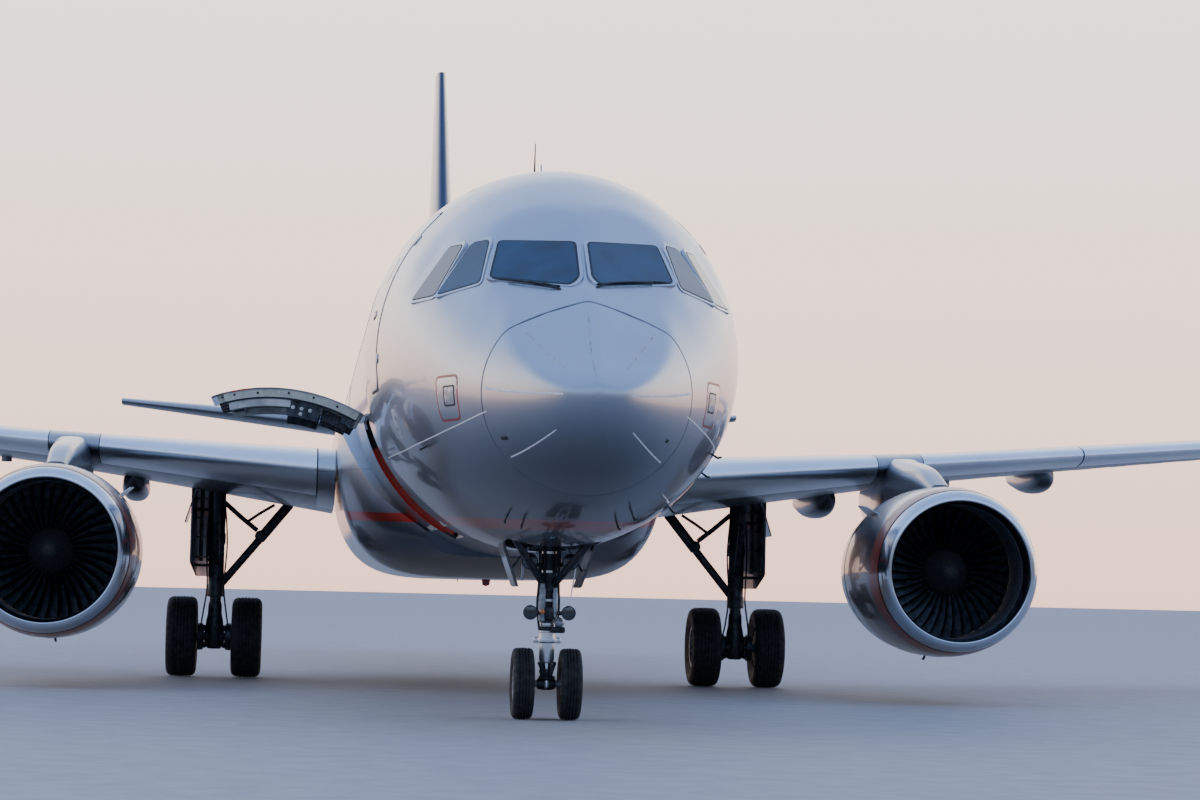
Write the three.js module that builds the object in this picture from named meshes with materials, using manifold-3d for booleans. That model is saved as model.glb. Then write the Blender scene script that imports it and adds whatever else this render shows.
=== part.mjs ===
// A twin-engined narrow-body airliner, parked on its landing gear with the forward cargo door open.
// Millimetres, +Z up, the nose towards -Y. A station s is the distance aft of the nose tip, so that
// y = s - LENGTH / 2.
// +X is the aircraft's left, or port, side. The tyres stand on z = 0.
import * as THREE from 'three';
import { mergeVertices } from 'three/addons/utils/BufferGeometryUtils.js';
import Module from 'manifold-3d';

const wasm = await Module();
wasm.setup();

// Driving dimensions
const LENGTH = 37570;
const HALF_SPAN = 17050;
const FIN_TOP = 11760;
const GAP = 0.3; // between pieces that touch
const DOOR_SEAM = 6; // around a door that opens
const HINGE_CLEARANCE = 7; // around a control surface's rounded nose
const SKIN = 120; // depth of doors and hatches behind the outer skin

// Fuselage sections: station, crown, keel, height of the widest line, half width
const FUSELAGE = [
  { s: 0, top: 3112, bottom: 3088, mid: 3100, half: 12 },
  { s: 30, top: 3250, bottom: 2955, mid: 3100, half: 145 },
  { s: 110, top: 3390, bottom: 2825, mid: 3102, half: 285 },
  { s: 260, top: 3550, bottom: 2672, mid: 3108, half: 435 },
  { s: 500, top: 3740, bottom: 2510, mid: 3120, half: 615 },
  { s: 800, top: 3920, bottom: 2360, mid: 3145, half: 800 },
  { s: 1150, top: 4095, bottom: 2235, mid: 3190, half: 985 },
  { s: 1550, top: 4290, bottom: 2125, mid: 3260, half: 1170 },
  { s: 2050, top: 4660, bottom: 2025, mid: 3360, half: 1370 },
  { s: 2600, top: 5050, bottom: 1940, mid: 3480, half: 1550 },
  { s: 3200, top: 5320, bottom: 1880, mid: 3590, half: 1690 },
  { s: 4000, top: 5590, bottom: 1825, mid: 3700, half: 1815 },
  { s: 5000, top: 5785, bottom: 1782, mid: 3790, half: 1910 },
  { s: 6500, top: 5900, bottom: 1760, mid: 3830, half: 1975 },
  { s: 24500, top: 5900, bottom: 1760, mid: 3830, half: 1975 },
  { s: 26000, top: 5900, bottom: 1850, mid: 3865, half: 1965 },
  { s: 28000, top: 5898, bottom: 2170, mid: 3980, half: 1900 },
  { s: 30000, top: 5888, bottom: 2660, mid: 4130, half: 1750 },
  { s: 32000, top: 5855, bottom: 3200, mid: 4330, half: 1500 },
  { s: 34000, top: 5775, bottom: 3760, mid: 4560, half: 1150 },
  { s: 35500, top: 5655, bottom: 4150, mid: 4750, half: 820 },
  { s: 36700, top: 5480, bottom: 4450, mid: 4900, half: 530 },
  { s: LENGTH, top: 5230, bottom: 4750, mid: 4980, half: 240 },
];
const AROUND = 32; // points around a fuselage section

// Where the fuselage's own pieces meet
const RADOME_END = 1150;
const NOSE_END = 4000;
const FORWARD_END = 11200;
const CENTRE_END = 21400;
const AFT_END = 34000;

// Wing stations: distance from the centre line, leading edge, chord, height, thickness, twist in degrees
const WING_ROOT_X = 2160;
const WING_KINK_X = 6400;
const WING = [
  { x: WING_ROOT_X, lead: 13146, chord: 6054, z: 2865, thick: 0.122, twist: 3.8 },
  { x: WING_KINK_X, lead: 15354, chord: 3900, z: 3265, thick: 0.096, twist: 2.6 },
  { x: 11000, lead: 17748, chord: 2815, z: 3705, thick: 0.102, twist: 0.8 },
  { x: HALF_SPAN, lead: 20898, chord: 1500, z: 4225, thick: 0.1, twist: -0.3 },
];
const STABILISER = [
  { x: 700, lead: 31500, chord: 4150, z: 4320, thick: 0.11, twist: 0 },
  { x: 6225, lead: 35100, chord: 1350, z: 4950, thick: 0.1, twist: 0 },
];
const FIN = [
  { z: 5400, lead: 29900, chord: 6000, thick: 0.11 },
  { z: FIN_TOP, lead: 34600, chord: 2000, thick: 0.1 },
];

// Engines: their centre, the intake's lip station and the profiles, aft of the lip
const ENGINE_X = 5730;
const ENGINE_Z = 1710;
const LIP = 11100;
const FAN_FACE = 950;
const INTAKE_END = 1150;
const COWL_END = 3500;
const DUCT_RADIUS = 872;
const FAN_TIP = 864;
const BLADES = 20;

// Landing gear
const NOSE_AXLE = 5070;
const NOSE_TYRE = { radius: 375, width: 224, rim: 205, spacing: 500 };
const MAIN_AXLE = 17710;
const MAIN_LEG_X = 3795;
const AXLE_RADIUS = 38;
const MAIN_AXLE_RADIUS = 60;
const MAIN_TYRE = { radius: 575, width: 432, rim: 285, spacing: 927 };

// Forward cargo door: its stations, its top and bottom edges and how far the photograph shows it open
const CARGO = { from: 7250, to: 9070, top: 3270, bottom: 1935, open: 135 };
const AFT_CARGO = { from: 22300, to: 23900, top: 3270, bottom: 1935 };
const PASSENGER_DOOR = { width: 810, height: 1850, sill: 3400 };

// Finishes
const finish = (color, roughness, metalness) => ({ color, roughness, metalness });
const SILVER = finish('#b9bcc0', 0.3, 0.8);
const GREY = finish('#a9adb1', 0.45, 0.3);
const BRIGHT = finish('#d9dbde', 0.18, 1);
const NAVY = finish('#1b2233', 0.4, 0.2);
const GLASS = finish('#15191d', 0.08, 0.1);
const STEEL = finish('#c3c6c9', 0.35, 0.9);
const DARK = finish('#3b3d40', 0.4, 0.8);
const RUBBER = finish('#1d1d1e', 0.85, 0);

// Plain helpers
const RAD = Math.PI / 180;
const yOf = (s) => s - LENGTH / 2;
const at = (x, s, z) => new THREE.Vector3(x, yOf(s), z);
const mix = (a, b, t) => a + (b - a) * t;

// A row of a table at any place between its rows
function between(table, key, value) {
  let i = 0;
  while (i < table.length - 2 && value > table[i + 1][key]) i += 1;
  const [low, high] = [table[i], table[i + 1]];
  const t = (value - low[key]) / (high[key] - low[key]);
  return Object.fromEntries(Object.keys(low).map((k) => [k, mix(low[k], high[k], t)]));
}

// A closed body from rings that all have the same number of points, its two ends filled flat
function loft(rings) {
  const n = rings[0].length;
  const positions = rings.flat().flatMap((p) => [p.x, p.y, p.z]);
  const index = [];
  for (let i = 0; i + 1 < rings.length; i += 1) {
    for (let j = 0; j < n; j += 1) {
      const k = (j + 1) % n;
      const [a, b, c, d] = [i * n + j, i * n + k, (i + 1) * n + k, (i + 1) * n + j];
      index.push(a, b, c, a, c, d);
    }
  }
  index.push(...cap(rings[0], 0, true));
  index.push(...cap(rings.at(-1), (rings.length - 1) * n, false));
  const geometry = new THREE.BufferGeometry();
  geometry.setAttribute('position', new THREE.Float32BufferAttribute(positions, 3));
  geometry.setIndex(index);
  return outward(geometry);
}

// The triangles that fill a flat ring, seen against the axis that it faces most
function cap(ring, offset, flip) {
  const normal = new THREE.Vector3();
  ring.forEach((p, i) => normal.add(p.clone().cross(ring[(i + 1) % ring.length])));
  const [ax, ay, az] = normal.toArray().map(Math.abs);
  let flat = (p) => new THREE.Vector2(p.x, p.y);
  let sign = Math.sign(normal.z);
  if (ax >= ay && ax >= az) {
    flat = (p) => new THREE.Vector2(p.y, p.z);
    sign = Math.sign(normal.x);
  } else if (ay >= az) {
    flat = (p) => new THREE.Vector2(p.z, p.x);
    sign = Math.sign(normal.y);
  }
  const outline = ring.map(flat);
  if (sign < 0) outline.reverse();
  const place = (i) => offset + (sign < 0 ? ring.length - 1 - i : i);
  const faces = THREE.ShapeUtils.triangulateShape(outline, []);
  return faces.flatMap(([a, b, c]) => {
    const face = [place(a), place(b), place(c)];
    return (sign < 0) !== flip ? face.reverse() : face;
  });
}

// Turns a closed body's faces outward
function outward(geometry) {
  const p = geometry.attributes.position;
  const index = geometry.index.array;
  const [a, b, c] = [new THREE.Vector3(), new THREE.Vector3(), new THREE.Vector3()];
  let volume = 0;
  for (let i = 0; i < index.length; i += 3) {
    a.fromBufferAttribute(p, index[i]);
    b.fromBufferAttribute(p, index[i + 1]);
    c.fromBufferAttribute(p, index[i + 2]);
    volume += a.dot(b.cross(c));
  }
  if (volume < 0) {
    for (let i = 0; i < index.length; i += 3) {
      [index[i], index[i + 2]] = [index[i + 2], index[i]];
    }
  }
  return geometry;
}

// Between three.js shapes and the solids that can be joined and cut
function solid(shape) {
  if (!shape.isBufferGeometry) return shape;
  const clean = shape.clone();
  clean.deleteAttribute('normal');
  clean.deleteAttribute('uv');
  const merged = mergeVertices(clean, 0.001);
  return new wasm.Manifold(new wasm.Mesh({
    numProp: 3,
    vertProperties: new Float32Array(merged.attributes.position.array),
    triVerts: new Uint32Array(merged.index.array),
  }));
}

function shapeOf(body) {
  if (body.isBufferGeometry) return body;
  const mesh = body.getMesh();
  const geometry = new THREE.BufferGeometry();
  geometry.setAttribute('position', new THREE.Float32BufferAttribute(mesh.vertProperties, 3));
  geometry.setIndex([...mesh.triVerts]);
  return geometry;
}

const join = (...shapes) => shapes.map(solid).reduce((a, b) => a.add(b));
const cut = (shape, ...tools) => tools.map(solid).reduce((a, b) => a.subtract(b), solid(shape));
const common = (...shapes) => shapes.map(solid).reduce((a, b) => a.intersect(b));

function block(x0, x1, s0, s1, z0, z1) {
  const box = new THREE.BoxGeometry(x1 - x0, s1 - s0, z1 - z0);
  return box.translate((x0 + x1) / 2, yOf((s0 + s1) / 2), (z0 + z1) / 2);
}

// Prisms from an outline: seen from the side as [s, z], from the front as [x, z], from above as [x, s]
const sidePrism = (outline, x0, x1) => loft([x0, x1].map((x) => outline.map(([s, z]) => at(x, s, z))));
const frontPrism = (outline, s0, s1) => loft([s0, s1].map((s) => outline.map(([x, z]) => at(x, s, z))));
const planPrism = (outline, z0, z1) => loft([z0, z1].map((z) => outline.map(([x, s]) => at(x, s, z))));

// A round bar or cone from p to q
function rod(p, q, radius, sides = 12, endRadius = radius, start = 0) {
  const bar = new THREE.CylinderGeometry(endRadius, radius, p.distanceTo(q), sides, 1, false, start);
  const turn = new THREE.Quaternion().setFromUnitVectors(
    new THREE.Vector3(0, 1, 0), q.clone().sub(p).normalize());
  bar.applyQuaternion(turn);
  const middle = p.clone().lerp(q, 0.5);
  return bar.translate(middle.x, middle.y, middle.z);
}

// The bore that a round bar turns in: its flats lie 0.3 mm outside the bar's corners
function bore(p, q, radius, sides = 12) {
  const around = (radius + GAP) / Math.cos(Math.PI / sides);
  return rod(p, q, around, sides, around, Math.PI / sides);
}

// A body turned about an axis along Y from [radius, distance aft] points that close on themselves
const SIDES = 28;
const CORE_SIDES = 20;
function turned(profile, sides = SIDES) {
  const points = profile.map(([r, s]) => new THREE.Vector2(r, s));
  const onAxis = profile[0][0] === 0 && profile.at(-1)[0] === 0;
  if (!onAxis) points.push(points[0].clone());
  return solid(outwardLathe(new THREE.LatheGeometry(points, sides)));
}

function outwardLathe(lathe) {
  const clean = lathe.clone();
  clean.deleteAttribute('normal');
  clean.deleteAttribute('uv');
  return outward(mergeVertices(clean, 0.001));
}

// The same turned about an axis along X, for wheels
const turnedX = (profile, sides) => turned(profile, sides).rotate([0, 0, -90]);

const mirrored = (shape) => solid(shape).mirror([1, 0, 0]);

// Fuselage
function fuselageRing(s, inset = 0, around = AROUND) {
  const row = between(FUSELAGE, 's', s);
  return Array.from({ length: around }, (_, i) => {
    const t = (i / around) * 2 * Math.PI;
    const rise = Math.sin(t) > 0 ? row.top - row.mid : row.mid - row.bottom;
    return at((row.half - inset) * Math.cos(t), s, row.mid + (rise - inset) * Math.sin(t));
  });
}

// Stations where every fuselage body has a ring, so that bodies made apart still match
const JOINTS = [RADOME_END, NOSE_END, FORWARD_END, CENTRE_END, AFT_END].flatMap((s) => [s - GAP, s]);
const RINGS = [...new Set([...FUSELAGE.map((row) => row.s), ...JOINTS])].sort((a, b) => a - b);
const fuselage = (from, to, inset = 0) =>
  loft(RINGS.filter((s) => s >= from && s <= to).map((s) => fuselageRing(s, inset)));

// The whole outer body, and the same with its skin moved inward, which the small ends are left out of
const outerBody = solid(fuselage(0, LENGTH));
const innerBody = (inset) => solid(fuselage(RADOME_END, AFT_END, inset));
const skinLayer = (inset, depth) => cut(inset ? innerBody(inset) : outerBody, innerBody(depth));

// A tube: a part of the fuselage that is open at both of its ends
const tube = (from, to, wall) => cut(fuselage(from, to - GAP),
  loft([from - 1, ...FUSELAGE.map((row) => row.s).filter((s) => s > from && s < to), to].map((s) =>
    fuselageRing(s, wall, AROUND / 2))));

const pieces = [];
function piece(name, shape, look, parent) {
  pieces.push({ name, shape, look, parent });
}

const doorBox = (side, s, grow) => {
  const { width, height, sill } = PASSENGER_DOOR;
  const [x0, x1] = side > 0 ? [1000, 2500] : [-2500, -1000];
  return block(x0, x1, s - width / 2 - grow, s + width / 2 + grow, sill - grow, sill + height + grow);
};
const cargoBox = (side, door, grow) => {
  const [x0, x1] = side > 0 ? [300, 2500] : [-2500, -300];
  return block(x0, x1, door.from - grow, door.to + grow, door.bottom - grow, door.top + grow);
};
// A plug door: what lies in its outline within a depth of the outer skin
const plug = (box, depth) => common(box, skinLayer(0, depth));
// The pocket that a plug stands in, cut from outside the skin
const pocket = (box, depth) => cut(box, innerBody(depth));

const FRONT_DOOR_S = 5020;
const REAR_DOOR_S = 29900;
const sides = [{ side: 1, hand: 'left' }, { side: -1, hand: 'right' }];
let forward = solid(fuselage(NOSE_END, FORWARD_END - GAP));
let aft = tube(CENTRE_END, AFT_END, 260);
for (const { side, hand } of sides) {
  piece(`front_passenger_door_${hand}`, plug(doorBox(side, FRONT_DOOR_S, 0), SKIN), SILVER);
  piece(`rear_passenger_door_${hand}`, plug(doorBox(side, REAR_DOOR_S, 0), SKIN), SILVER);
  forward = cut(forward, pocket(doorBox(side, FRONT_DOOR_S, 5), SKIN + GAP));
  aft = cut(aft, pocket(doorBox(side, REAR_DOOR_S, 5), SKIN + GAP));
}

// Cargo hold behind the open door, and the shallow bay behind the closed one
const HOLD = { from: 6900, to: 10400, floor: 2080, ceiling: 3230, left: 1350 };
const hold = frontPrism([[-1700, HOLD.ceiling], [HOLD.left, HOLD.ceiling], [HOLD.left, 2500],
  [1000, HOLD.floor], [-1000, HOLD.floor], [-1450, 2500]], HOLD.from, HOLD.to);
forward = cut(forward, hold, cargoBox(-1, CARGO, DOOR_SEAM));
aft = cut(aft, cargoBox(-1, AFT_CARGO, DOOR_SEAM));

// Nose gear bay
const NOSE_BAY = { from: 4350, to: 5750, half: 490, top: 2650 };
forward = cut(forward, block(-NOSE_BAY.half, NOSE_BAY.half, NOSE_BAY.from, NOSE_BAY.to, 1500, NOSE_BAY.top));

// Hinge line of a cargo door, just outside the skin at the door's top edge
const skinX = (s, z) => {
  const row = between(FUSELAGE, 's', s);
  const rise = z > row.mid ? row.top - row.mid : row.mid - row.bottom;
  return row.half * Math.sqrt(1 - ((z - row.mid) / rise) ** 2);
};
function cargoDoor(door, openAngle) {
  const hingeX = -skinX(door.from, door.top) - 12;
  const pin = { x: hingeX, z: door.top + 2, radius: 14 };
  const panel = plug(cargoBox(-1, door, 0), SKIN);
  const bar = rod(at(pin.x, door.from + 60, pin.z), at(pin.x, door.to - 60, pin.z), pin.radius);
  const leaf = block(hingeX - 5, hingeX + 60, door.from + 60, door.to - 60, door.top - 60, door.top + 2);
  const notch = (s) => block(hingeX - 40, hingeX + 70, s - 6, s + 51, door.top - 30, door.top + 80);
  const body = join(cut(panel, notch(door.from + 60 - GAP - 45), notch(door.to - 60 + GAP)), bar, leaf);
  const turn = body.translate([-pin.x, 0, -pin.z]).rotate([0, openAngle, 0]).translate([pin.x, 0, pin.z]);
  const lug = (s) => block(hingeX - 12, hingeX + 60, s, s + 45, door.top - 14, door.top + 60);
  const lugs = join(lug(door.from + 60 - GAP - 45), lug(door.to - 60 + GAP));
  return { panel: turn, lugs, pin };
}
const cargo = cargoDoor(CARGO, CARGO.open);
const aftCargo = cargoDoor(AFT_CARGO, 0);
piece('forward_cargo_door', cargo.panel, SILVER);
piece('aft_cargo_door', aftCargo.panel, SILVER);
forward = join(forward, cargo.lugs);
aft = join(aft, aftCargo.lugs);

// Cockpit glass: a band under the skin that its panes rise from, flush with the skin
const PANES = [
  { view: 'front', outline: [[40, 4300], [880, 4300], [800, 4720], [40, 4720]], s0: 1000, s1: 3000 },
  { view: 'side', outline: [[2330, 4250], [3050, 4230], [2900, 4760], [2560, 4770]], x0: 500, x1: 2200 },
  { view: 'side', outline: [[3120, 4230], [3620, 4330], [3450, 4700], [3000, 4750]], x0: 500, x1: 2200 },
];
function glazing(grow) {
  const windows = [];
  for (const pane of PANES) {
    for (const side of [1, -1]) {
      const outline = grown(pane.outline, grow);
      if (pane.view === 'front') {
        windows.push(frontPrism(outline.map(([x, z]) => [side * x, z]), pane.s0, pane.s1));
      } else {
        windows.push(sidePrism(outline, side * pane.x0, side * pane.x1));
      }
    }
  }
  const room = block(-2300, 2300, 1500, 3700 + grow, 4200 - grow, 4800 + grow);
  const band = common(skinLayer(30 - grow, 70 + grow), room);
  const rise = grow ? cut(join(...windows), innerBody(60)) : common(skinLayer(0, 60), join(...windows));
  return join(band, rise);
}
// An outline with its corners moved away from its middle
function grown(outline, by) {
  const middle = [0, 1].map((k) => outline.reduce((sum, p) => sum + p[k], 0) / outline.length);
  return outline.map((p) => {
    const d = Math.hypot(p[0] - middle[0], p[1] - middle[1]);
    return p.map((v, k) => v + ((v - middle[k]) / d) * by);
  });
}
piece('cockpit_glazing', glazing(0), GLASS);
piece('radome', fuselage(0, RADOME_END - GAP), SILVER);
piece('nose_section', cut(fuselage(RADOME_END, NOSE_END - GAP), glazing(2 * GAP)), SILVER);

// Belly fairing, its wing roots' sides upright
const FAIRING = [
  { s: 10900, half: 1100, bottom: 1745, top: 2050 },
  { s: 12000, half: 1900, bottom: 1560, top: 3000 },
  { s: 13000, half: WING_ROOT_X, bottom: 1480, top: 3500 },
  { s: 19500, half: WING_ROOT_X, bottom: 1480, top: 3500 },
  { s: 20700, half: 1900, bottom: 1600, top: 3000 },
  { s: 21800, half: 1100, bottom: 1745, top: 2050 },
];
function fairingRing({ s, half, bottom, top }, inset) {
  const depth = top - bottom;
  const shape = [[-1, 1], [-1, 0.35], [-0.93, 0.15], [-0.72, 0.03], [-0.4, 0], [0.4, 0], [0.72, 0.03],
    [0.93, 0.15], [1, 0.35], [1, 1]];
  return shape.map(([x, z]) => at(x * (half - inset), s, bottom + inset + z * depth));
}
const fairing = loft(FAIRING.map((row) => fairingRing(row, 0)));
piece('belly_fairing', cut(fairing, fuselage(RADOME_END, LENGTH, -GAP)), GREY);
piece('forward_fuselage', forward, SILVER);
piece('centre_fuselage', tube(FORWARD_END, CENTRE_END, 260), SILVER);

// Aerofoil of unit chord: from the trailing edge over the top to the nose and back below
const STEPS = [1, 0.86, 0.68, 0.5, 0.32, 0.17, 0.07, 0.018];
const thickness = (c) => 5 * (0.2969 * Math.sqrt(c) - 0.126 * c - 0.3516 * c ** 2 + 0.2843 * c ** 3
  - 0.0996 * c ** 4);
const TRAILING = 0.002;
const camber = (c) => 0.03 * c * (1 - c);
function foil(thick) {
  const upper = STEPS.map((c) => [c, camber(c) + thick * thickness(c) + TRAILING]);
  const lower = STEPS.map((c) => [c, camber(c) - thick * thickness(c) - TRAILING]).reverse();
  return [...upper, [0, 0], ...lower];
}
function wingRing(row, grow = 0) {
  return foil(row.thick).map(([c, h]) => {
    const a = -row.twist * RAD;
    const [u, v] = [c * row.chord, h * row.chord];
    const out = Math.sign(h) * grow;
    const [aft, up] = [u * Math.cos(a) - v * Math.sin(a), u * Math.sin(a) + v * Math.cos(a)];
    return at(row.x, row.lead + aft, row.z + up + out);
  });
}
const stations = (table, from, to) => [
  between(table, 'x', from), ...table.filter((row) => row.x > from && row.x < to), between(table, 'x', to)];
const wingBody = (table, from, to, grow) => loft(stations(table, from, to).map((row) => wingRing(row, grow)));

// A point on the chord plane of a wing-like table
function chordPoint(table, x, c) {
  const row = between(table, 'x', x);
  const a = -row.twist * RAD;
  const u = c * row.chord;
  const v = camber(c) * row.chord;
  return at(x, row.lead + u * Math.cos(a) - v * Math.sin(a), row.z + u * Math.sin(a) + v * Math.cos(a));
}
const halfThickness = (table, x, c) => {
  const row = between(table, 'x', x);
  return (row.thick * thickness(c) + TRAILING) * row.chord;
};

const NOSE_SIDES = 16; // sides of a control surface's round nose
// Splits a surface off a body at a hinge line from p to q, with a rounded nose and pins at both ends.
// back is a unit vector from the hinge line towards the trailing edge, up one across both.
function hinged(body, { p, q, rp, rq, reach = 4000, pin = 9 }) {
  const along = q.clone().sub(p).normalize();
  const back = new THREE.Vector3(0, 1, 0).addScaledVector(along, -along.y).normalize();
  const up = along.clone().cross(back);
  const frame = (end, out, grow) => [[0, 1], [0, -1], [1, -1], [1, 1]].map(([b, u]) => end.clone()
    .addScaledVector(along, out).addScaledVector(back, b * reach - grow).addScaledVector(up, u * 600));
  const wedge = (grow) => loft([frame(p, -grow, 0), frame(q, grow, 0)]);
  // Round nose; the hollow it turns in has its flats, not its corners, at the clearance
  const nose = (grow) => {
    const out = grow ? 1 / Math.cos(Math.PI / NOSE_SIDES) : 1;
    return rod(p.clone().addScaledVector(along, -grow), q.clone().addScaledVector(along, grow),
      (rp + grow) * out, NOSE_SIDES, (rq + grow) * out);
  };
  const pins = (make, out) => join(
    make(p.clone().addScaledVector(along, -out), p.clone().addScaledVector(along, 60), pin, 8),
    make(q.clone().addScaledVector(along, -60), q.clone().addScaledVector(along, out), pin, 8));
  const pinLength = 40;
  const moving = join(common(body, join(wedge(0), nose(0))), pins(rod, pinLength));
  const fixed = cut(body, wedge(HINGE_CLEARANCE), nose(HINGE_CLEARANCE), pins(bore, pinLength + 5));
  return { moving, fixed, p, q };
}

// Wings
const SLAT = { chord: 0.13, from: 2400, to: 16500, gapFrom: 5350, gapTo: 6050 };
const JACK_PAD = { x: 6800, s: 17300, z: 3010, depth: 170, radius: 75 };
const FLAP = { chord: 0.72, inner: [WING_ROOT_X + 60, 6380], outer: [6400, 12480] };
const AILERON = { chord: 0.75, from: 12750, to: 16500 };
const [WING_BELOW, WING_ABOVE] = [1500, 6000]; // heights that a cut through the wing reaches
const chordOutline = (from, to, c0, c1, step = 0) => {
  const xs = [from, ...WING.map((row) => row.x).filter((x) => x > from && x < to), to];
  const edge = (x, c) => {
    const row = between(WING, 'x', x);
    return [x, row.lead + c * row.chord];
  };
  return [...xs.map((x) => edge(x, c0)), ...xs.reverse().map((x) => edge(x, c1))].map(([x, s], i) =>
    [x, s + (i < xs.length ? -step : step)]);
};
const region = (from, to, c0, c1, grow) => planPrism(
  chordOutline(from - grow, to + grow, c0, c1, grow), WING_BELOW, WING_ABOVE);
const TRACKS = [
  { x: 5150, lead: 0.5, past: 350, half: 170, depth: 400 },
  { x: 8480, lead: 0.5, past: 450, half: 160, depth: 360 },
  { x: 12100, lead: 0.5, past: 450, half: 140, depth: 310 },
];
// A canoe under the wing: share of its length, size there
const CANOE = [[0, 0.05], [0.12, 0.6], [0.35, 1], [0.65, 0.85], [1, 0.06]];
function trackFairing({ x, lead, past, half, depth }, grow = 0) {
  const { chord } = between(WING, 'x', x);
  const length = (1 - lead) * chord + past;
  return loft(CANOE.map(([t, size]) => {
    const c = lead + (t * length) / chord;
    const middle = chordPoint(WING, x, c);
    middle.z -= depth * 0.3 + Math.max(0, halfThickness(WING, x, Math.min(c, 0.99)));
    return Array.from({ length: 8 }, (_, i) => {
      const a = (i / 8) * 2 * Math.PI;
      const [u, v] = [half * size + grow, depth * 0.5 * size + grow];
      return new THREE.Vector3(x + u * Math.cos(a), middle.y, middle.z + v * Math.sin(a));
    });
  }));
}
let wing = solid(wingBody(WING, WING_ROOT_X + GAP, HALF_SPAN - GAP));
const wingGrown = wingBody(WING, WING_ROOT_X, HALF_SPAN, GAP);
const slatRegion = (grow) => join(region(SLAT.from, SLAT.gapFrom, -0.05, SLAT.chord, grow),
  region(SLAT.gapTo, SLAT.to, -0.05, SLAT.chord, grow));
const slatInner = common(wing, region(SLAT.from, SLAT.gapFrom, -0.05, SLAT.chord, 0));
const slatOuter = common(wing, region(SLAT.gapTo, SLAT.to, -0.05, SLAT.chord, 0));
const tracksGrown = TRACKS.map((row) => trackFairing(row, 2 * GAP));
const flapInner = cut(common(wing, region(...FLAP.inner, FLAP.chord, 1.1, 0)), ...tracksGrown);
const flapOuter = cut(common(wing, region(...FLAP.outer, FLAP.chord, 1.1, 0)), ...tracksGrown);
const aileronHinge = {
  p: chordPoint(WING, AILERON.from, AILERON.chord),
  q: chordPoint(WING, AILERON.to, AILERON.chord),
  rp: halfThickness(WING, AILERON.from, AILERON.chord),
  rq: halfThickness(WING, AILERON.to, AILERON.chord),
};
const aileron = hinged(wing, aileronHinge);
wing = cut(aileron.fixed, slatRegion(GAP), region(...FLAP.inner, FLAP.chord, 1.1, GAP),
  region(...FLAP.outer, FLAP.chord, 1.1, GAP));
const padPoint = (z) => at(JACK_PAD.x, JACK_PAD.s, z);
const jackPad = rod(padPoint(JACK_PAD.z), padPoint(JACK_PAD.z + JACK_PAD.depth), JACK_PAD.radius);
wing = join(wing, jackPad, ...TRACKS.map((row) => trackFairing(row)));

// Tip fence
const tip = between(WING, 'x', HALF_SPAN);
const FENCE = [[250, 20], [1500, 750], [1750, 750], [1560, 0], [1700, -620], [1480, -620]];
const fence = sidePrism(FENCE.map(([aft, up]) => [tip.lead + aft, tip.z + up]), HALF_SPAN - 45, HALF_SPAN);
wing = join(wing, fence);

// Engine: profiles as [radius, distance aft of the lip]
const intakeProfile = [
  [905, 0], [955, 25], [1010, 130], [1060, 400], [1095, 800], [1105, INTAKE_END - GAP],
  [DUCT_RADIUS, INTAKE_END - GAP], [DUCT_RADIUS, 800], [852, 480], [862, 150], [880, 40],
];
const cowlProfile = [
  [1105, INTAKE_END], [1108, 1700], [1085, 2300], [1010, 3000], [905, COWL_END],
  [885, COWL_END], [DUCT_RADIUS, 2600], [DUCT_RADIUS, INTAKE_END],
];
const coreProfile = [
  [0, 1420], [300, 1420], [430, 1600], [600, 2100], [660, 2900], [600, COWL_END], [420, 4780],
  [395, 4780], [400, 4500], [290, 4500], [200, 4900], [60, 5240], [0, 5280],
];
const SHAFT = 90;
const spinnerProfile = [
  [0, 600], [60, 630], [170, 780], [275, FAN_FACE], [290, 1350], [SHAFT, 1350], [SHAFT, 1500], [0, 1500],
];
function fanBlade(angle) {
  const rows = [[250, 0.9, 30], [FAN_TIP, 1.05, 58]];
  const turn = new THREE.Matrix4().makeRotationY(angle);
  return loft(rows.map(([r, size, pitch]) => [[-1, 0], [0, -1], [1, 0], [0, 1]].map(([u, v]) => {
    const [chord, thick] = [u * 130 * size, v * 7];
    const [c, s] = [Math.cos(pitch * RAD), Math.sin(pitch * RAD)];
    const aft = FAN_FACE + 160 + chord * c - thick * s;
    return new THREE.Vector3(chord * s + thick * c, aft, r).applyMatrix4(turn);
  })));
}
const fan = join(turned(spinnerProfile, 16),
  ...Array.from({ length: BLADES }, (_, i) => fanBlade((i / BLADES) * 2 * Math.PI)));
const VANES = 4;
const vane = (i) => {
  const a = (i / VANES) * 2 * Math.PI + Math.PI / VANES;
  const reach = DUCT_RADIUS * Math.cos(Math.PI / SIDES) - GAP;
  const bar = new THREE.BoxGeometry(reach - 350, 420, 24);
  return bar.translate((reach + 350) / 2, 2000, 0).rotateY(a);
};
const core = cut(join(turned(coreProfile, CORE_SIDES), ...Array.from({ length: VANES }, (_, i) => vane(i))),
  bore(new THREE.Vector3(0, 1300, 0), new THREE.Vector3(0, 1505, 0), SHAFT, 16));
const engineOrigin = yOf(LIP);
const nacelleBody = (grow) => turned([[0, 0], [905, 0],
  ...intakeProfile.slice(1, 6).map(([r, s]) => [r + grow, s]),
  ...cowlProfile.slice(0, 5).map(([r, s]) => [r + grow, s]),
  ...coreProfile.slice(5, 7).map(([r, s]) => [(r + grow) / Math.cos(Math.PI / CORE_SIDES), s + grow]),
  [0, coreProfile[6][1] + grow]]);
const placedNacelle = nacelleBody(1).translate([ENGINE_X, engineOrigin, ENGINE_Z]);

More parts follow.
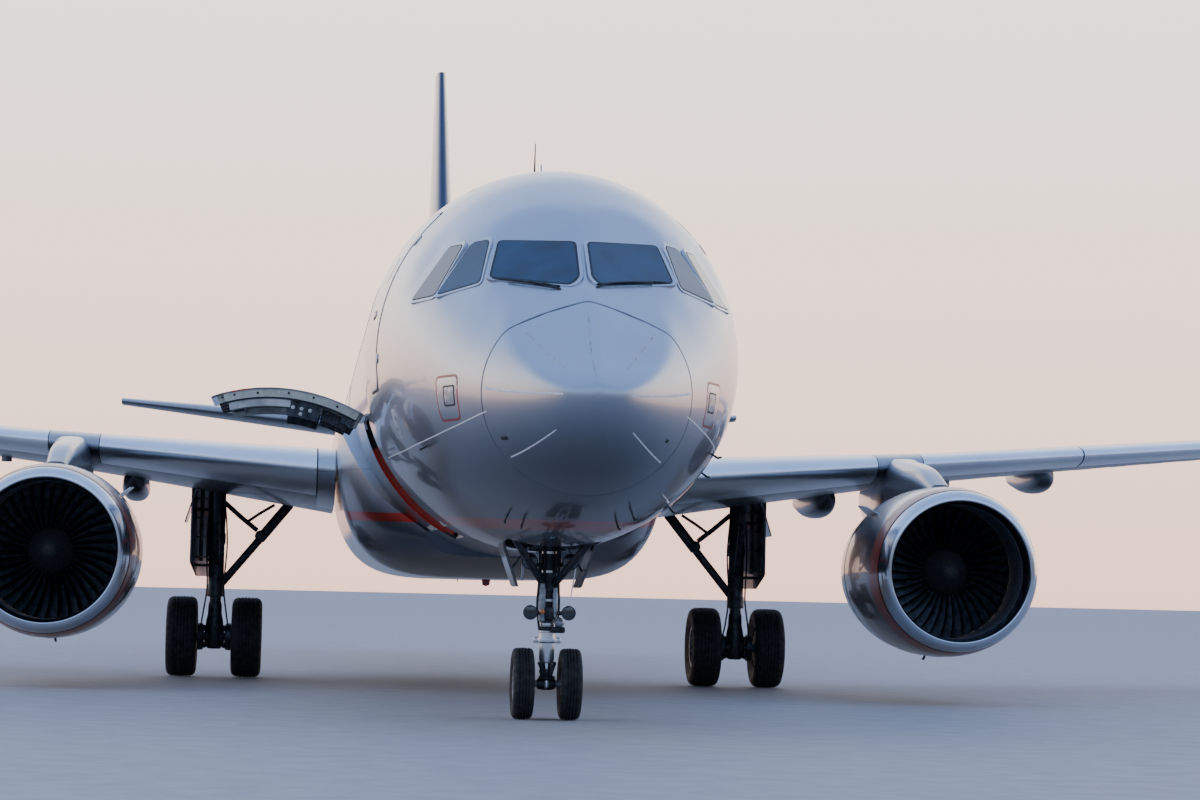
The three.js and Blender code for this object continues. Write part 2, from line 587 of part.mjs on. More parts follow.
// Pylon: from the top of the cowl to the wing, widest where it meets the leading edge
const PYLON = [
  { s: LIP + 1350, low: 2600, high: 2850, half: 150 },
  { s: LIP + 2300, low: 2300, high: 3110, half: 210 },
  { s: LIP + 3400, low: 2010, high: 3240, half: 280 },
  { s: LIP + 3900, low: 2010, high: 3290, half: 315 },
  { s: LIP + 4700, low: 2010, high: 3130, half: 290 },
  { s: LIP + 5500, low: 2350, high: 3040, half: 220 },
  { s: LIP + 6800, low: 2740, high: 2960, half: 90 },
];
const PYLON_RING = [[-1, 0], [-1, 0.68], [-0.84, 0.9], [-0.45, 1], [0.45, 1], [0.84, 0.9], [1, 0.68], [1, 0]];
const pylonBody = loft(PYLON.map(({ s, low, high, half }) =>
  PYLON_RING.map(([x, z]) => at(ENGINE_X + x * half, s, mix(low, high, z)))));
const pylon = cut(pylonBody, placedNacelle, wingGrown);
// Strake on the fan cowl's inboard shoulder, as [distance aft of the lip, radius]
const STRAKE = [[1250, 1060], [1650, 1255], [2150, 1290], [2150, 1060]];
const STRAKE_TURN = 48; // degrees from the top
const STRAKE_THICK = 12;
const strake = loft([-STRAKE_THICK / 2, STRAKE_THICK / 2].map((x) =>
  STRAKE.map(([aft, r]) => new THREE.Vector3(x, aft, r))));

// Stabiliser, fin and their hinged surfaces
const ELEVATOR = { chord: 0.7, from: 1250, to: 6000 };
const hullGrown = fuselage(RADOME_END, LENGTH, -GAP);
const elevator = hinged(solid(wingBody(STABILISER, 700, 6225)), {
  p: chordPoint(STABILISER, ELEVATOR.from, ELEVATOR.chord),
  q: chordPoint(STABILISER, ELEVATOR.to, ELEVATOR.chord),
  rp: halfThickness(STABILISER, ELEVATOR.from, ELEVATOR.chord),
  rq: halfThickness(STABILISER, ELEVATOR.to, ELEVATOR.chord),
});
const finRing = (row) => foil(row.thick).map(([c, h]) =>
  at((h - camber(c)) * row.chord, row.lead + c * row.chord, row.z));
const dorsal = sidePrism([[28300, 5800], [31500, 7300], [31500, 5800]], -60, 60);
const finBody = cut(join(loft(FIN.map(finRing)), dorsal), hullGrown);
const finPoint = (z, c) => {
  const row = between(FIN, 'z', z);
  return at(0, row.lead + c * row.chord, z);
};
const finThick = (z, c) => {
  const row = between(FIN, 'z', z);
  return (row.thick * thickness(c) + TRAILING) * row.chord;
};
const RUDDER = { chord: 0.7, from: 6050, to: 11450 };
const rudder = hinged(finBody, {
  p: finPoint(RUDDER.from, RUDDER.chord),
  q: finPoint(RUDDER.to, RUDDER.chord),
  rp: finThick(RUDDER.from, RUDDER.chord),
  rq: finThick(RUDDER.to, RUDDER.chord),
});
piece('fin', rudder.fixed, NAVY);
piece('rudder', cut(rudder.moving, fuselage(RADOME_END, LENGTH, -15)), NAVY);
piece('aft_fuselage', aft, SILVER);
piece('tail_cone', fuselage(AFT_END, LENGTH), SILVER);

// Wheels: one tyre or hub about the X axis, centred on its own middle
const WHEEL_SIDES = 20;
const tyre = ({ radius, width, rim }) => {
  const w = width / 2;
  return turnedX([[rim, -w * 0.7], [radius * 0.8, -w], [radius * 0.93, -w * 0.9], [radius, -w * 0.55],
    [radius, w * 0.55], [radius * 0.93, w * 0.9], [radius * 0.8, w], [rim, w * 0.7]], WHEEL_SIDES);
};
const wheelHub = ({ width, rim }) => {
  const w = width / 2;
  const r = rim - GAP;
  return turnedX([[0, -w * 0.5], [r * 0.5, -w * 0.5], [r * 0.85, -w * 0.3], [r, -w * 0.68], [r, w * 0.68],
    [r * 0.85, w * 0.3], [r * 0.5, w * 0.5], [0, w * 0.5]], WHEEL_SIDES);
};
const axleSet = (size, axleRadius) => join(
  wheelHub(size).translate([-size.spacing / 2, 0, 0]), wheelHub(size).translate([size.spacing / 2, 0, 0]),
  rod(new THREE.Vector3(-size.spacing / 2, 0, 0), new THREE.Vector3(size.spacing / 2, 0, 0), axleRadius, 12));

// Nose gear
const LEG_TOP = NOSE_BAY.top - GAP;
const COLLAR = 900;
const steerAxis = (z) => at(0, NOSE_AXLE, z);
// The two arms of its stay reach forward to the bay's side walls
const bayRoom = block(GAP - NOSE_BAY.half, NOSE_BAY.half - GAP, NOSE_BAY.from + 50, NOSE_BAY.to, 900, LEG_TOP);
const stayArm = (side) => common(bayRoom,
  rod(at(0, NOSE_AXLE, 1400), at(side * 540, NOSE_AXLE - 620, 1980), 38));
const noseLeg = cut(join(
  rod(steerAxis(COLLAR), steerAxis(LEG_TOP), 88, 16),
  stayArm(-1),
  stayArm(1),
  block(-60, 60, NOSE_AXLE - 130, NOSE_AXLE, 1050, 1180),
  ...sides.flatMap(({ side }) => [
    rod(at(side * 200, NOSE_AXLE - 260, 1115), at(side * 200, NOSE_AXLE - 140, 1115), 92, 16, 60),
    rod(at(side * 200, NOSE_AXLE - 150, 1115), at(0, NOSE_AXLE - 60, 1115), 24),
  ])), bore(steerAxis(COLLAR - 10), steerAxis(1400), 58, 16));
const noseFork = cut(join(
  rod(steerAxis(NOSE_TYRE.radius - 60), steerAxis(1380), 58, 16),
  rod(steerAxis(COLLAR - 130), steerAxis(COLLAR - GAP), 88, 16),
  rod(at(-95, NOSE_AXLE, NOSE_TYRE.radius), at(95, NOSE_AXLE, NOSE_TYRE.radius), 62, 16),
  block(-45, 45, NOSE_AXLE - 150, NOSE_AXLE, 500, 560),
  block(-28, 28, NOSE_AXLE + 50, NOSE_AXLE + 270, 470, 520),
  block(-28, 28, NOSE_AXLE + 50, NOSE_AXLE + 270, COLLAR - 110, COLLAR - 60),
  block(-28, 28, NOSE_AXLE + 220, NOSE_AXLE + 270, 470, COLLAR - 60)),
  bore(at(-120, NOSE_AXLE, NOSE_TYRE.radius), at(120, NOSE_AXLE, NOSE_TYRE.radius), AXLE_RADIUS));
piece('nose_gear_leg', noseLeg, STEEL);
piece('nose_gear_steered_leg', noseFork, STEEL);
for (const { side, hand } of sides) {
  const edge = NOSE_BAY.half - GAP;
  const door = [[edge, 1930], [465, 1930], [465, 1800], [308, 1385], [333, 1385], [edge, 1790]].map(
    ([x, z]) => [side * x, z]);
  piece(`nose_gear_door_${hand}`, frontPrism(door, 5000, 5740), SILVER);
}

// Main gear, built for the left side
const legAt = (z, ds = 0, dx = 0) => at(MAIN_LEG_X + dx, MAIN_AXLE + ds, z);
const mainLegBody = cut(join(
  rod(legAt(1150), legAt(2900), 125, 16),
  rod(legAt(MAIN_TYRE.radius), legAt(1200), 85, 16),
  rod(legAt(MAIN_TYRE.radius, 0, -140), legAt(MAIN_TYRE.radius, 0, 140), 105, 16),
  rod(at(MAIN_LEG_X - 40, MAIN_AXLE, 1250), at(2759, MAIN_AXLE, 2520), 60),
  block(MAIN_LEG_X - 35, MAIN_LEG_X + 35, MAIN_AXLE + 60, MAIN_AXLE + 420, 640, 710),
  block(MAIN_LEG_X - 35, MAIN_LEG_X + 35, MAIN_AXLE + 60, MAIN_AXLE + 420, 1180, 1250),
  block(MAIN_LEG_X - 35, MAIN_LEG_X + 35, MAIN_AXLE + 350, MAIN_AXLE + 420, 640, 1250)),
  bore(legAt(MAIN_TYRE.radius, 0, -200), legAt(MAIN_TYRE.radius, 0, 200), MAIN_AXLE_RADIUS), wingGrown);
const mainDoor = cut(
  block(MAIN_LEG_X + 160, MAIN_LEG_X + 190, MAIN_AXLE - 420, MAIN_AXLE + 380, 1440, 2850), wingGrown);

// Both sides
const scaleSide = (shape, side) => (side > 0 ? solid(shape) : mirrored(shape));
for (const { side, hand } of sides) {
  piece(`wing_${hand}`, scaleSide(wing, side), GREY);
  piece(`inner_slat_${hand}`, scaleSide(slatInner, side), BRIGHT);
  piece(`outer_slat_${hand}`, scaleSide(slatOuter, side), BRIGHT);
  piece(`inner_flap_${hand}`, scaleSide(flapInner, side), GREY);
  piece(`outer_flap_${hand}`, scaleSide(flapOuter, side), GREY);
  piece(`aileron_${hand}`, scaleSide(aileron.moving, side), GREY);
  const engine = { x: side * ENGINE_X, s: LIP, z: ENGINE_Z, name: `engine_${hand}` };
  const fanCowl = join(turned(cowlProfile), strake.clone().rotateY(-side * STRAKE_TURN * RAD));
  piece(`inlet_cowl_${hand}`, turned(intakeProfile), BRIGHT, engine);
  piece(`fan_cowl_${hand}`, fanCowl, SILVER, engine);
  piece(`engine_core_${hand}`, core, DARK, engine);
  piece(`fan_${hand}`, fan, DARK, engine);
  piece(`pylon_${hand}`, scaleSide(pylon, side), GREY);
  piece(`stabiliser_${hand}`, cut(scaleSide(elevator.fixed, side), hullGrown), GREY);
  piece(`elevator_${hand}`, scaleSide(elevator.moving, side), GREY);
  const nose = { x: 0, s: NOSE_AXLE, z: NOSE_TYRE.radius, name: 'nose_wheels' };
  const noseTyre = { ...nose, x: side * NOSE_TYRE.spacing / 2, name: `nose_tyre_place_${hand}` };
  piece(`nose_tyre_${hand}`, tyre(NOSE_TYRE), RUBBER, noseTyre);
  if (side > 0) piece('nose_wheel_hubs', axleSet(NOSE_TYRE, AXLE_RADIUS), STEEL, nose);
  const main = { x: side * MAIN_LEG_X, s: MAIN_AXLE, z: MAIN_TYRE.radius, name: `main_wheels_${hand}` };
  piece(`main_wheel_hubs_${hand}`, axleSet(MAIN_TYRE, MAIN_AXLE_RADIUS), STEEL, main);
  for (const [where, out] of [['inner', -1], ['outer', 1]]) {
    const x = main.x + (side * out * MAIN_TYRE.spacing) / 2;
    const place = { ...main, x, name: `main_${where}_place_${hand}` };
    piece(`main_tyre_${where}_${hand}`, tyre(MAIN_TYRE), RUBBER, place);
  }
  piece(`main_gear_leg_${hand}`, scaleSide(mainLegBody, side), STEEL);
  piece(`main_gear_door_${hand}`, scaleSide(mainDoor, side), SILVER);
}

// The model: groups stand where an engine or a set of wheels is carried
const airliner = new THREE.Group();
airliner.name = 'airliner';
const groups = new Map();
for (const { name, shape, look, parent } of pieces) {
  const mesh = new THREE.Mesh(shapeOf(shape), new THREE.MeshStandardMaterial(look));
  mesh.name = name;
  let home = airliner;
  if (parent) {
    if (!groups.has(parent.name)) {
      const group = new THREE.Group();
      group.name = parent.name;
      group.position.copy(at(parent.x, parent.s, parent.z));
      groups.set(parent.name, group);
      airliner.add(group);
    }
    home = groups.get(parent.name);
  }
  home.add(mesh);
}

export default airliner;
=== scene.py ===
import math

import bmesh
import bpy
import numpy as np
from mathutils import Matrix, Vector


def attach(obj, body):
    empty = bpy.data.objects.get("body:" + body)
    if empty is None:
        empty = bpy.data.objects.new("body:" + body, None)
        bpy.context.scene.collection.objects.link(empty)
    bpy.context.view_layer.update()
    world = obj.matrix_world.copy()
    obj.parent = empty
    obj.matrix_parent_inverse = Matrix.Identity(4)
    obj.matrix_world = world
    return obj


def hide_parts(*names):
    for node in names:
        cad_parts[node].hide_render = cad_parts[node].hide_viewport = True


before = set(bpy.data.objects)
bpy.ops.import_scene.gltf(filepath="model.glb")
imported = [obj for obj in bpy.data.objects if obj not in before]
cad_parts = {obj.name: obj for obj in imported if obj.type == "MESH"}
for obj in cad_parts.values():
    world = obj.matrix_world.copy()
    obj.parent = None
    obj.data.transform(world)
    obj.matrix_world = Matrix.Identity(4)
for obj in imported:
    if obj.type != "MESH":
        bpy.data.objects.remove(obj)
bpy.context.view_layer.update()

# An airliner in metres, nose towards -Y and +X to port. A station s is the distance aft of the nose tip.
LENGTH = 37.57
SIDES = (("left", 1), ("right", -1))

# Fuselage sections: station, crown, keel, height of the widest line, half width
FUSELAGE = np.array([(0.0, 3.112, 3.088, 3.1, 0.012), (0.03, 3.25, 2.955, 3.1, 0.145),
    (0.11, 3.39, 2.825, 3.102, 0.285), (0.26, 3.55, 2.672, 3.108, 0.435), (0.5, 3.74, 2.51, 3.12, 0.615),
    (0.8, 3.92, 2.36, 3.145, 0.8), (1.15, 4.095, 2.235, 3.19, 0.985), (1.55, 4.29, 2.125, 3.26, 1.17),
    (2.05, 4.66, 2.025, 3.36, 1.37), (2.6, 5.05, 1.94, 3.48, 1.55), (3.2, 5.32, 1.88, 3.59, 1.69),
    (4.0, 5.59, 1.825, 3.7, 1.815), (5.0, 5.785, 1.782, 3.79, 1.91), (6.5, 5.9, 1.76, 3.83, 1.975),
    (24.5, 5.9, 1.76, 3.83, 1.975), (26.0, 5.9, 1.85, 3.865, 1.965), (28.0, 5.898, 2.17, 3.98, 1.9),
    (30.0, 5.888, 2.66, 4.13, 1.75), (32.0, 5.855, 3.2, 4.33, 1.5), (34.0, 5.775, 3.76, 4.56, 1.15),
    (35.5, 5.655, 4.15, 4.75, 0.82), (36.7, 5.48, 4.45, 4.9, 0.53), (37.57, 5.23, 4.75, 4.98, 0.24)])
RADOME_END, NOSE_END, FORWARD_END, CENTRE_END, AFT_END = 1.15, 4.0, 11.2, 21.4, 34.0
SKIN_WALL = 0.03
STRIPE_RISE = 0.027

# Wing-like surfaces: distance from the centre line (height for the fin), leading edge, chord, height, thickness,
# twist
WING = np.array([(2.16, 13.146, 6.054, 2.865, 0.122, 3.8), (6.4, 15.354, 3.9, 3.265, 0.096, 2.6),
    (11.0, 17.748, 2.815, 3.705, 0.102, 0.8), (17.05, 20.898, 1.5, 4.225, 0.1, -0.3)])
STABILISER = np.array([(0.7, 31.5, 4.15, 4.32, 0.11, 0.0), (6.225, 35.1, 1.35, 4.95, 0.1, 0.0)])
FIN = np.array([(5.4, 29.9, 6.0, 0.0, 0.11, 0.0), (11.76, 34.6, 2.0, 0.0, 0.1, 0.0)])
HINGE_CLEARANCE = 0.007

ENGINE_X, ENGINE_Z, LIP = 5.73, 1.71, 11.1
NOSE_AXLE, MAIN_AXLE, MAIN_LEG_X = 5.07, 17.71, 3.795
CARGO_TOP, CARGO_BOTTOM, CARGO_HINGE = 3.27, 1.935, (-1.91335, 3.272)
FORWARD_CARGO = dict(name="forward_cargo_door", start=7.25, end=9.07, open_by=135.0)
DOOR_SEAM = 0.006
AFT_CARGO = dict(name="aft_cargo_door", start=22.3, end=23.9, open_by=0.0)

# Cockpit panes of the port side: corners (x, s, z) in order round the pane
PANES = {"front": [(0.05, 2.11, 4.705), (0.78, 2.50, 4.755), (0.885, 1.99, 4.31), (0.15, 1.47, 4.248),
    (0.05, 1.57, 4.305)], "sliding": [(0.85, 2.54, 4.746), (1.02, 2.76, 4.746), (1.365, 2.56, 4.19),
    (0.97, 2.06, 4.286)], "rear": [(1.08, 2.82, 4.72), (1.232, 3.15, 4.746), (1.577, 3.16, 4.18),
    (1.385, 2.62, 4.20)]}


def y_of(s):
    """The row frame's y at a station."""
    return s - LENGTH / 2


def at(x, s, z):
    """A point by its distance to port, its station and its height."""
    return np.array([x, y_of(s), z], float)


def smooth_curve(xs, ys, x):
    """A curve through (xs, ys) that never overshoots: cubic pieces whose slopes are harmonic means of their
    neighbours'."""
    step = np.diff(xs)
    rise = np.diff(ys) / step
    same = rise[:-1] * rise[1:] > 0
    w1, w2 = 2 * step[1:] + step[:-1], step[1:] + 2 * step[:-1]
    with np.errstate(divide="ignore", invalid="ignore"):
        inner = np.where(same, (w1 + w2) / (w1 / rise[:-1] + w2 / rise[1:]), 0.0)
    slope = np.concatenate([[rise[0]], inner, [rise[-1]]])
    i = np.clip(np.searchsorted(xs, x) - 1, 0, len(xs) - 2)
    h, t = step[i], (x - xs[i]) / step[i]
    before = (2 * t**3 - 3 * t**2 + 1) * ys[i] + (t**3 - 2 * t**2 + t) * h * slope[i]
    return before + (3 * t**2 - 2 * t**3) * ys[i + 1] + (t**3 - t**2) * h * slope[i + 1]


def smooth_columns(table, s):
    """The columns of a table beside its stations, each as a smooth curve at the stations s."""
    return [smooth_curve(table[:, 0], table[:, k], s)[:, None] for k in range(1, table.shape[1])]


def squared(wave, power):
    """A sine or cosine made squarer: its size to a power below 1, with its sign."""
    return np.sign(wave) * np.abs(wave)**power


def section(s):
    """Crown, keel, widest line and half width at a station, as smooth curves over the square root of s, which rounds
    the nose."""
    root = np.sqrt(np.maximum(s, 0.0))
    return [smooth_curve(np.sqrt(FUSELAGE[:, 0]), FUSELAGE[:, k], root) for k in (1, 2, 3, 4)]


def pane_plane(corners, side):
    """The plane through a pane's corners, as an outward unit normal and its distance: the least direction of their
    spread."""
    points = np.array([at(x * side, s, z) for x, s, z in corners])
    middle = points.mean(0)
    normal = np.linalg.svd(points - middle)[2][2]
    normal *= np.sign(normal @ (middle - at(0, 4.0, 3.6)))
    return normal, normal @ middle


PANE_PLANES = [pane_plane(corners, side) for corners in PANES.values() for _, side in SIDES]
PRESS_EDGE, PRESS_END, PRESS_FADE = 0.012, 3.9, 0.5


def hull(s, turn, out=0.0):
    """The fuselage's skin at a station and an angle from port over the crown, moved outward by out: half an ellipse
    over half an ellipse, pressed flat along each cockpit pane's plane by a soft minimum."""
    s, turn = np.broadcast_arrays(np.asarray(s, float), np.asarray(turn, float))
    top, keel, mid, half = section(s)
    rise = np.where(np.sin(turn) > 0, top - mid, mid - keel)
    nx, nz = np.cos(turn) / half, np.sin(turn) / rise
    length = np.hypot(nx, nz)
    point = np.stack([half * np.cos(turn) + out * nx / length, y_of(s),
        mid + rise * np.sin(turn) + out * nz / length], -1)
    near = np.clip((PRESS_END - s) / PRESS_FADE, 0, 1)
    for normal, away in PANE_PLANES:
        beyond = np.clip((point @ normal - away - out) / PRESS_EDGE, -30, 1e4)
        pressed = np.where(beyond > 30, beyond, np.log1p(np.exp(np.minimum(beyond, 30)))) * PRESS_EDGE
        point = point - (pressed * near)[..., None] * normal
    return point


def side_angle(s, z, side):
    """The angle at which the skin of one side stands at height z: the arc sine of the height's share of the
    ellipse."""
    top, keel, mid, half = section(np.asarray(s, float))
    up = np.arcsin(np.clip((z - mid) / np.where(z > mid, top - mid, mid - keel), -1, 1))
    return up if side > 0 else math.pi - up


# Meshes from arrays

def circle(count):
    """Angles that divide a full turn evenly, from 0."""
    return np.linspace(0, 2 * math.pi, count, endpoint=False)


def grid_faces(rows, columns, close_rows=False, close_columns=False):
    """Four-sided faces between the points of a grid, row by row, joined round where it closes."""
    i, j = np.meshgrid(np.arange(rows - (not close_rows)), np.arange(columns - (not close_columns)), indexing="ij")
    k, m = (i + 1) % rows, (j + 1) % columns
    return np.stack([i * columns + j, i * columns + m, k * columns + m, k * columns + j], -1).reshape(-1, 4)


def make_mesh(points, faces):
    """A closed mesh from an array of points and its faces, its doubles merged and its faces turned outward."""
    mesh = bpy.data.meshes.new("surface")
    mesh.from_pydata(np.asarray(points, float).reshape(-1, 3), [], [np.asarray(f).tolist() for f in faces])
    work = bmesh.new()
    work.from_mesh(mesh)
    bmesh.ops.remove_doubles(work, verts=work.verts, dist=1e-6)
    bmesh.ops.recalc_face_normals(work, faces=work.faces)
    if work.calc_volume(signed=True) < 0:
        bmesh.ops.reverse_faces(work, faces=work.faces)
    work.to_mesh(mesh)
    work.free()
    return mesh


def loft(rings, closed=False):
    """A body through rings of equally many points. Its ends are filled flat, unless the last ring leads back to the
    first."""
    rings = np.asarray(rings, float)
    n, m = rings.shape[:2]
    faces = list(grid_faces(n, m, closed, True))
    if not closed:
        faces += [np.arange(m)[::-1], np.arange(m) + (n - 1) * m]
    return make_mesh(rings, faces)


def turned(profile, centre, axis="Y", sides=96):
    """A body of revolution: (radius, distance) points turned about an axis through centre. It closes on the axis, or
    the profile closes on itself."""
    profile = np.asarray(profile, float)
    closed = profile[0, 0] < 1e-6 and profile[-1, 0] < 1e-6
    turn = circle(sides)
    r, d = profile[:, :1], np.broadcast_to(profile[:, 1:], (len(profile), sides))
    across, up = r * np.cos(turn), r * np.sin(turn)
    order = {"X": (d, across, up), "Y": (across, d, up), "Z": (across, up, d)}[axis]
    return make_mesh(np.stack(order, -1) + np.asarray(centre, float), grid_faces(len(profile), sides, not closed,
        True))


def curved(points, steps=5):
    """Points between those of a line, on one smooth curve for each coordinate over the length walked."""
    points = np.asarray(points, float)
    walk = np.concatenate([[0], np.cumsum(np.linalg.norm(np.diff(points, axis=0), axis=1))])
    fine = np.concatenate([*(np.linspace(a, b, steps, endpoint=False) for a, b in zip(walk[:-1], walk[1:])),
        walk[-1:]])
    return np.stack([smooth_curve(walk, points[:, k], fine) for k in range(points.shape[1])], -1)


def unit(vectors):
    """Rows of vectors, each divided by its length."""
    return vectors / np.linalg.norm(vectors, axis=1, keepdims=True)


def shell(profile, wall):
    """A profile with a second line inside it: each point moved by wall across the line's direction."""
    profile = np.asarray(profile, float)
    along = unit(np.gradient(profile, axis=0))
    return np.concatenate([profile, (profile + wall * np.stack([along[:, 1], -along[:, 0]], -1))[::-1]])


def bar(path, radius, sides=14):
    """A round bar with one radius, or one at each point, carried along a path: circles across the path's
    direction."""
    path = np.asarray(path, float)
    radius = np.broadcast_to(radius, len(path))[:, None, None]
    along = unit(np.gradient(path, axis=0))
    guide = np.array([0.0, 0.0, 1.0]) if np.abs(along[:, 2]).max() < 0.9 else np.array([0.31, 0.95, 0.02])
    first = unit(np.cross(along, guide))
    turn = circle(sides)[None, :, None]
    ring = np.cos(turn) * first[:, None] + np.sin(turn) * np.cross(along, first)[:, None]
    return loft(path[:, None] + radius * ring)


def ended(path, radius, round_by=0.3):
    """A path and its radii for a bar with rounded ends: the last part of each end shrinks in three steps."""
    path = np.asarray(path, float)
    first, last = path[1] - path[0], path[-2] - path[-1]
    r = float(radius) * round_by
    inset = np.array([0.0, 0.3, 1.0])[:, None] * r
    start = path[0] + inset * first / np.linalg.norm(first)
    stop = (path[-1] + inset * last / np.linalg.norm(last))[::-1]
    shrink = np.array([0.7, 0.91, 1.0])
    return np.concatenate([start, path[1:-1], stop]), radius * np.concatenate([shrink, np.ones(len(path) - 2),
        shrink[::-1]])


def in_frame(points):
    """Points given as (distance to port, station, height), in the row frame."""
    return np.asarray(points, float) - (0, LENGTH / 2, 0)


def round_rod(points, radius, sides=12):
    """A round bar with rounded ends through stations."""
    return bar(*ended(in_frame(points), radius), sides)


def pin(middle, reach, radius, sides=12):
    """A round bar with rounded ends, from reach before its middle to reach beyond it."""
    middle, reach = np.asarray(middle, float), np.asarray(reach, float)
    return round_rod([middle - reach, middle, middle + reach], radius, sides)


def prism(outline, start, end, flat="x"):
    """A flat outline carried from start to end across its own plane: of (s, z) points along x, of (x, z) along s, or
    of (x, s) along z."""
    a, b = np.asarray(outline, float).T
    rings = []
    for level in (start, end):
        one = np.full(len(a), float(level))
        x, s, z = {"x": (one, a, b), "s": (a, one, b), "z": (a, b, one)}[flat]
        rings.append(np.stack([x, y_of(s), z], -1))
    return loft(rings)


def rounded_outline(corners, radius, steps=4):
    """A polygon with its corners rounded: quadratic curves from radius before to radius after each corner."""
    corners = np.asarray(corners, float)
    before, after = np.roll(corners, 1, 0) - corners, np.roll(corners, -1, 0) - corners
    least = np.minimum(*(np.linalg.norm(edge, axis=1, keepdims=True) for edge in (before, after)))
    reach = np.minimum(radius, 0.45 * least)
    p, q = corners + unit(before) * reach, corners + unit(after) * reach
    t = np.linspace(0, 1, steps + 1)[None, :, None]
    bends = (1 - t)**2 * p[:, None] + 2 * t * (1 - t) * corners[:, None] + t**2 * q[:, None]
    return bends.reshape(-1, corners.shape[1])


def block(low, high, round_by=0.01):
    """A block with rounded edges: rounded rectangles stacked in z that shrink at both ends. Corners are (x, s, z)."""
    low, high = np.minimum(low, high), np.maximum(low, high)
    r = min(round_by, *((high - low) * 0.4))
    rings = []
    for lift, inset in ((0, r), (0.3 * r, 0.3 * r), (r, 0.0)):
        corners = [(low[0] + inset, low[1] + inset), (high[0] - inset, low[1] + inset),
            (high[0] - inset, high[1] - inset), (low[0] + inset, high[1] - inset)]
        ring = rounded_outline(corners, max(r, 1e-4), 3)
        rings.append((ring, lift))
    stack = [(ring, low[2] + lift) for ring, lift in rings] + [(ring, high[2] - lift) for ring, lift in rings[::-1]]
    return loft([np.stack([ring[:, 0], y_of(ring[:, 1]), np.full(len(ring), z)], -1) for ring, z in stack])


def patch(outline, surface, low, high, rings=2, edge=0.004):
    """A thin slab on a curved surface. outline is flat, and shrunken copies of it fill it towards its middle;
    surface(a, b, out) gives each point at the two faces low and high, the upper one with a rounded edge."""
    outline = np.asarray(outline, float)
    middle = outline.mean(0)
    spread = np.linalg.norm(outline - middle, axis=1).mean()
    share = np.linspace(1, 0, rings + 1)[:-1]
    layers = [(s, low) for s in share[::-1]] + [(1.0, high - edge * 0.6), (1 - 0.3 * edge / spread,
        high - edge * 0.15), (1 - edge / spread, high)] + [(s, high) for s in share[1:]]
    points = [surface(*(middle + (outline - middle) * s).T, out) for s, out in layers]
    n, m = len(points), len(outline)
    caps = [surface(*middle[:, None], low)[0], surface(*middle[:, None], high)[0]]
    j = np.arange(m)
    faces = list(grid_faces(n, m, False, True))
    faces += list(np.stack([np.full(m, n * m), (j + 1) % m, j], -1))
    faces += list(np.stack([np.full(m, n * m + 1), (n - 1) * m + j, (n - 1) * m + (j + 1) % m], -1))
    return make_mesh(np.concatenate([np.concatenate(points), caps]), faces)


def on_side(side):
    """A patch's surface on one side of the fuselage, by station and height."""
    return lambda s, z, out: hull(s, side_angle(s, z, side), out)


def joined(meshes):
    """One mesh from several."""
    work = bmesh.new()
    for mesh in meshes:
        work.from_mesh(mesh)
        bpy.data.meshes.remove(mesh)
    whole = bpy.data.meshes.new("joined")
    work.to_mesh(whole)
    work.free()
    return whole


def moved(mesh, matrix, offset=(0, 0, 0)):
    """The mesh with its points multiplied by a 3 x 3 matrix and moved, its faces turned over if it is mirrored."""
    flat = np.empty(len(mesh.vertices) * 3)
    mesh.vertices.foreach_get("co", flat)
    points = flat.reshape(-1, 3) @ np.asarray(matrix, float).T + np.asarray(offset, float)
    mesh.vertices.foreach_set("co", points.ravel())
    if np.linalg.det(matrix) < 0:
        mesh.flip_normals()
    mesh.update()
    return mesh


def swell(mesh, by):
    """A mesh with its points moved outward by a small distance, each along its normal."""
    flat, out = np.empty(len(mesh.vertices) * 3), np.empty(len(mesh.vertices) * 3)
    mesh.vertices.foreach_get("co", flat)
    mesh.vertices.foreach_get("normal", out)
    mesh.vertices.foreach_set("co", flat + by * out)
    mesh.update()
    return mesh


def on_hand(mesh, side):
    """A mesh made for port, mirrored in x for starboard."""
    return mesh if side > 0 else moved(mesh, np.diag([-1.0, 1.0, 1.0]))


def swung(mesh, hinge, degrees):
    """A mesh swung about a fore-and-aft hinge at (x, z), positive from +Z towards +X."""
    a = math.radians(degrees)
    turn = np.array([[math.cos(a), 0, math.sin(a)], [0, 1, 0], [-math.sin(a), 0, math.cos(a)]])
    pivot = np.array([hinge[0], 0, hinge[1]])
    return moved(mesh, turn, pivot - turn @ pivot)


def cut(mesh, *tools, way="DIFFERENCE"):
    """A mesh with closed tool meshes cut out of it, or joined to it, or what both have in common."""
    things = [bpy.data.objects.new("cut", m) for m in (mesh, *tools)]
    for thing in things:
        bpy.context.scene.collection.objects.link(thing)
    for tool in things[1:]:
        modifier = things[0].modifiers.new("Cut", "BOOLEAN")
        modifier.object, modifier.operation, modifier.solver = tool, way, "EXACT"
    bpy.context.view_layer.update()
    result = bpy.data.meshes.new_from_object(things[0].evaluated_get(bpy.context.evaluated_depsgraph_get()))
    for thing in things:
        bpy.data.objects.remove(thing)
    for used in (mesh, *tools):
        bpy.data.meshes.remove(used)
    return result


def place(name, mesh, look, body="airframe", replaces=None, slot=None, smooth=35.0, side=1):
    """Puts a mesh, or a list of meshes joined, into the scene as a piece that rides on a body, mirrored for starboard
    where side is -1. Edges sharper than smooth, in degrees, stay sharp."""
    mesh = on_hand(joined(mesh) if isinstance(mesh, list) else mesh, side)
    mesh.materials.clear()
    mesh.materials.append(look)
    mesh.shade_smooth()
    mesh.set_sharp_from_angle(angle=math.radians(smooth))
    thing = bpy.data.objects.new(name, mesh)
    bpy.context.scene.collection.objects.link(thing)
    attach(thing, body)
    if replaces:
        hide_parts(replaces)
    return thing


# Materials

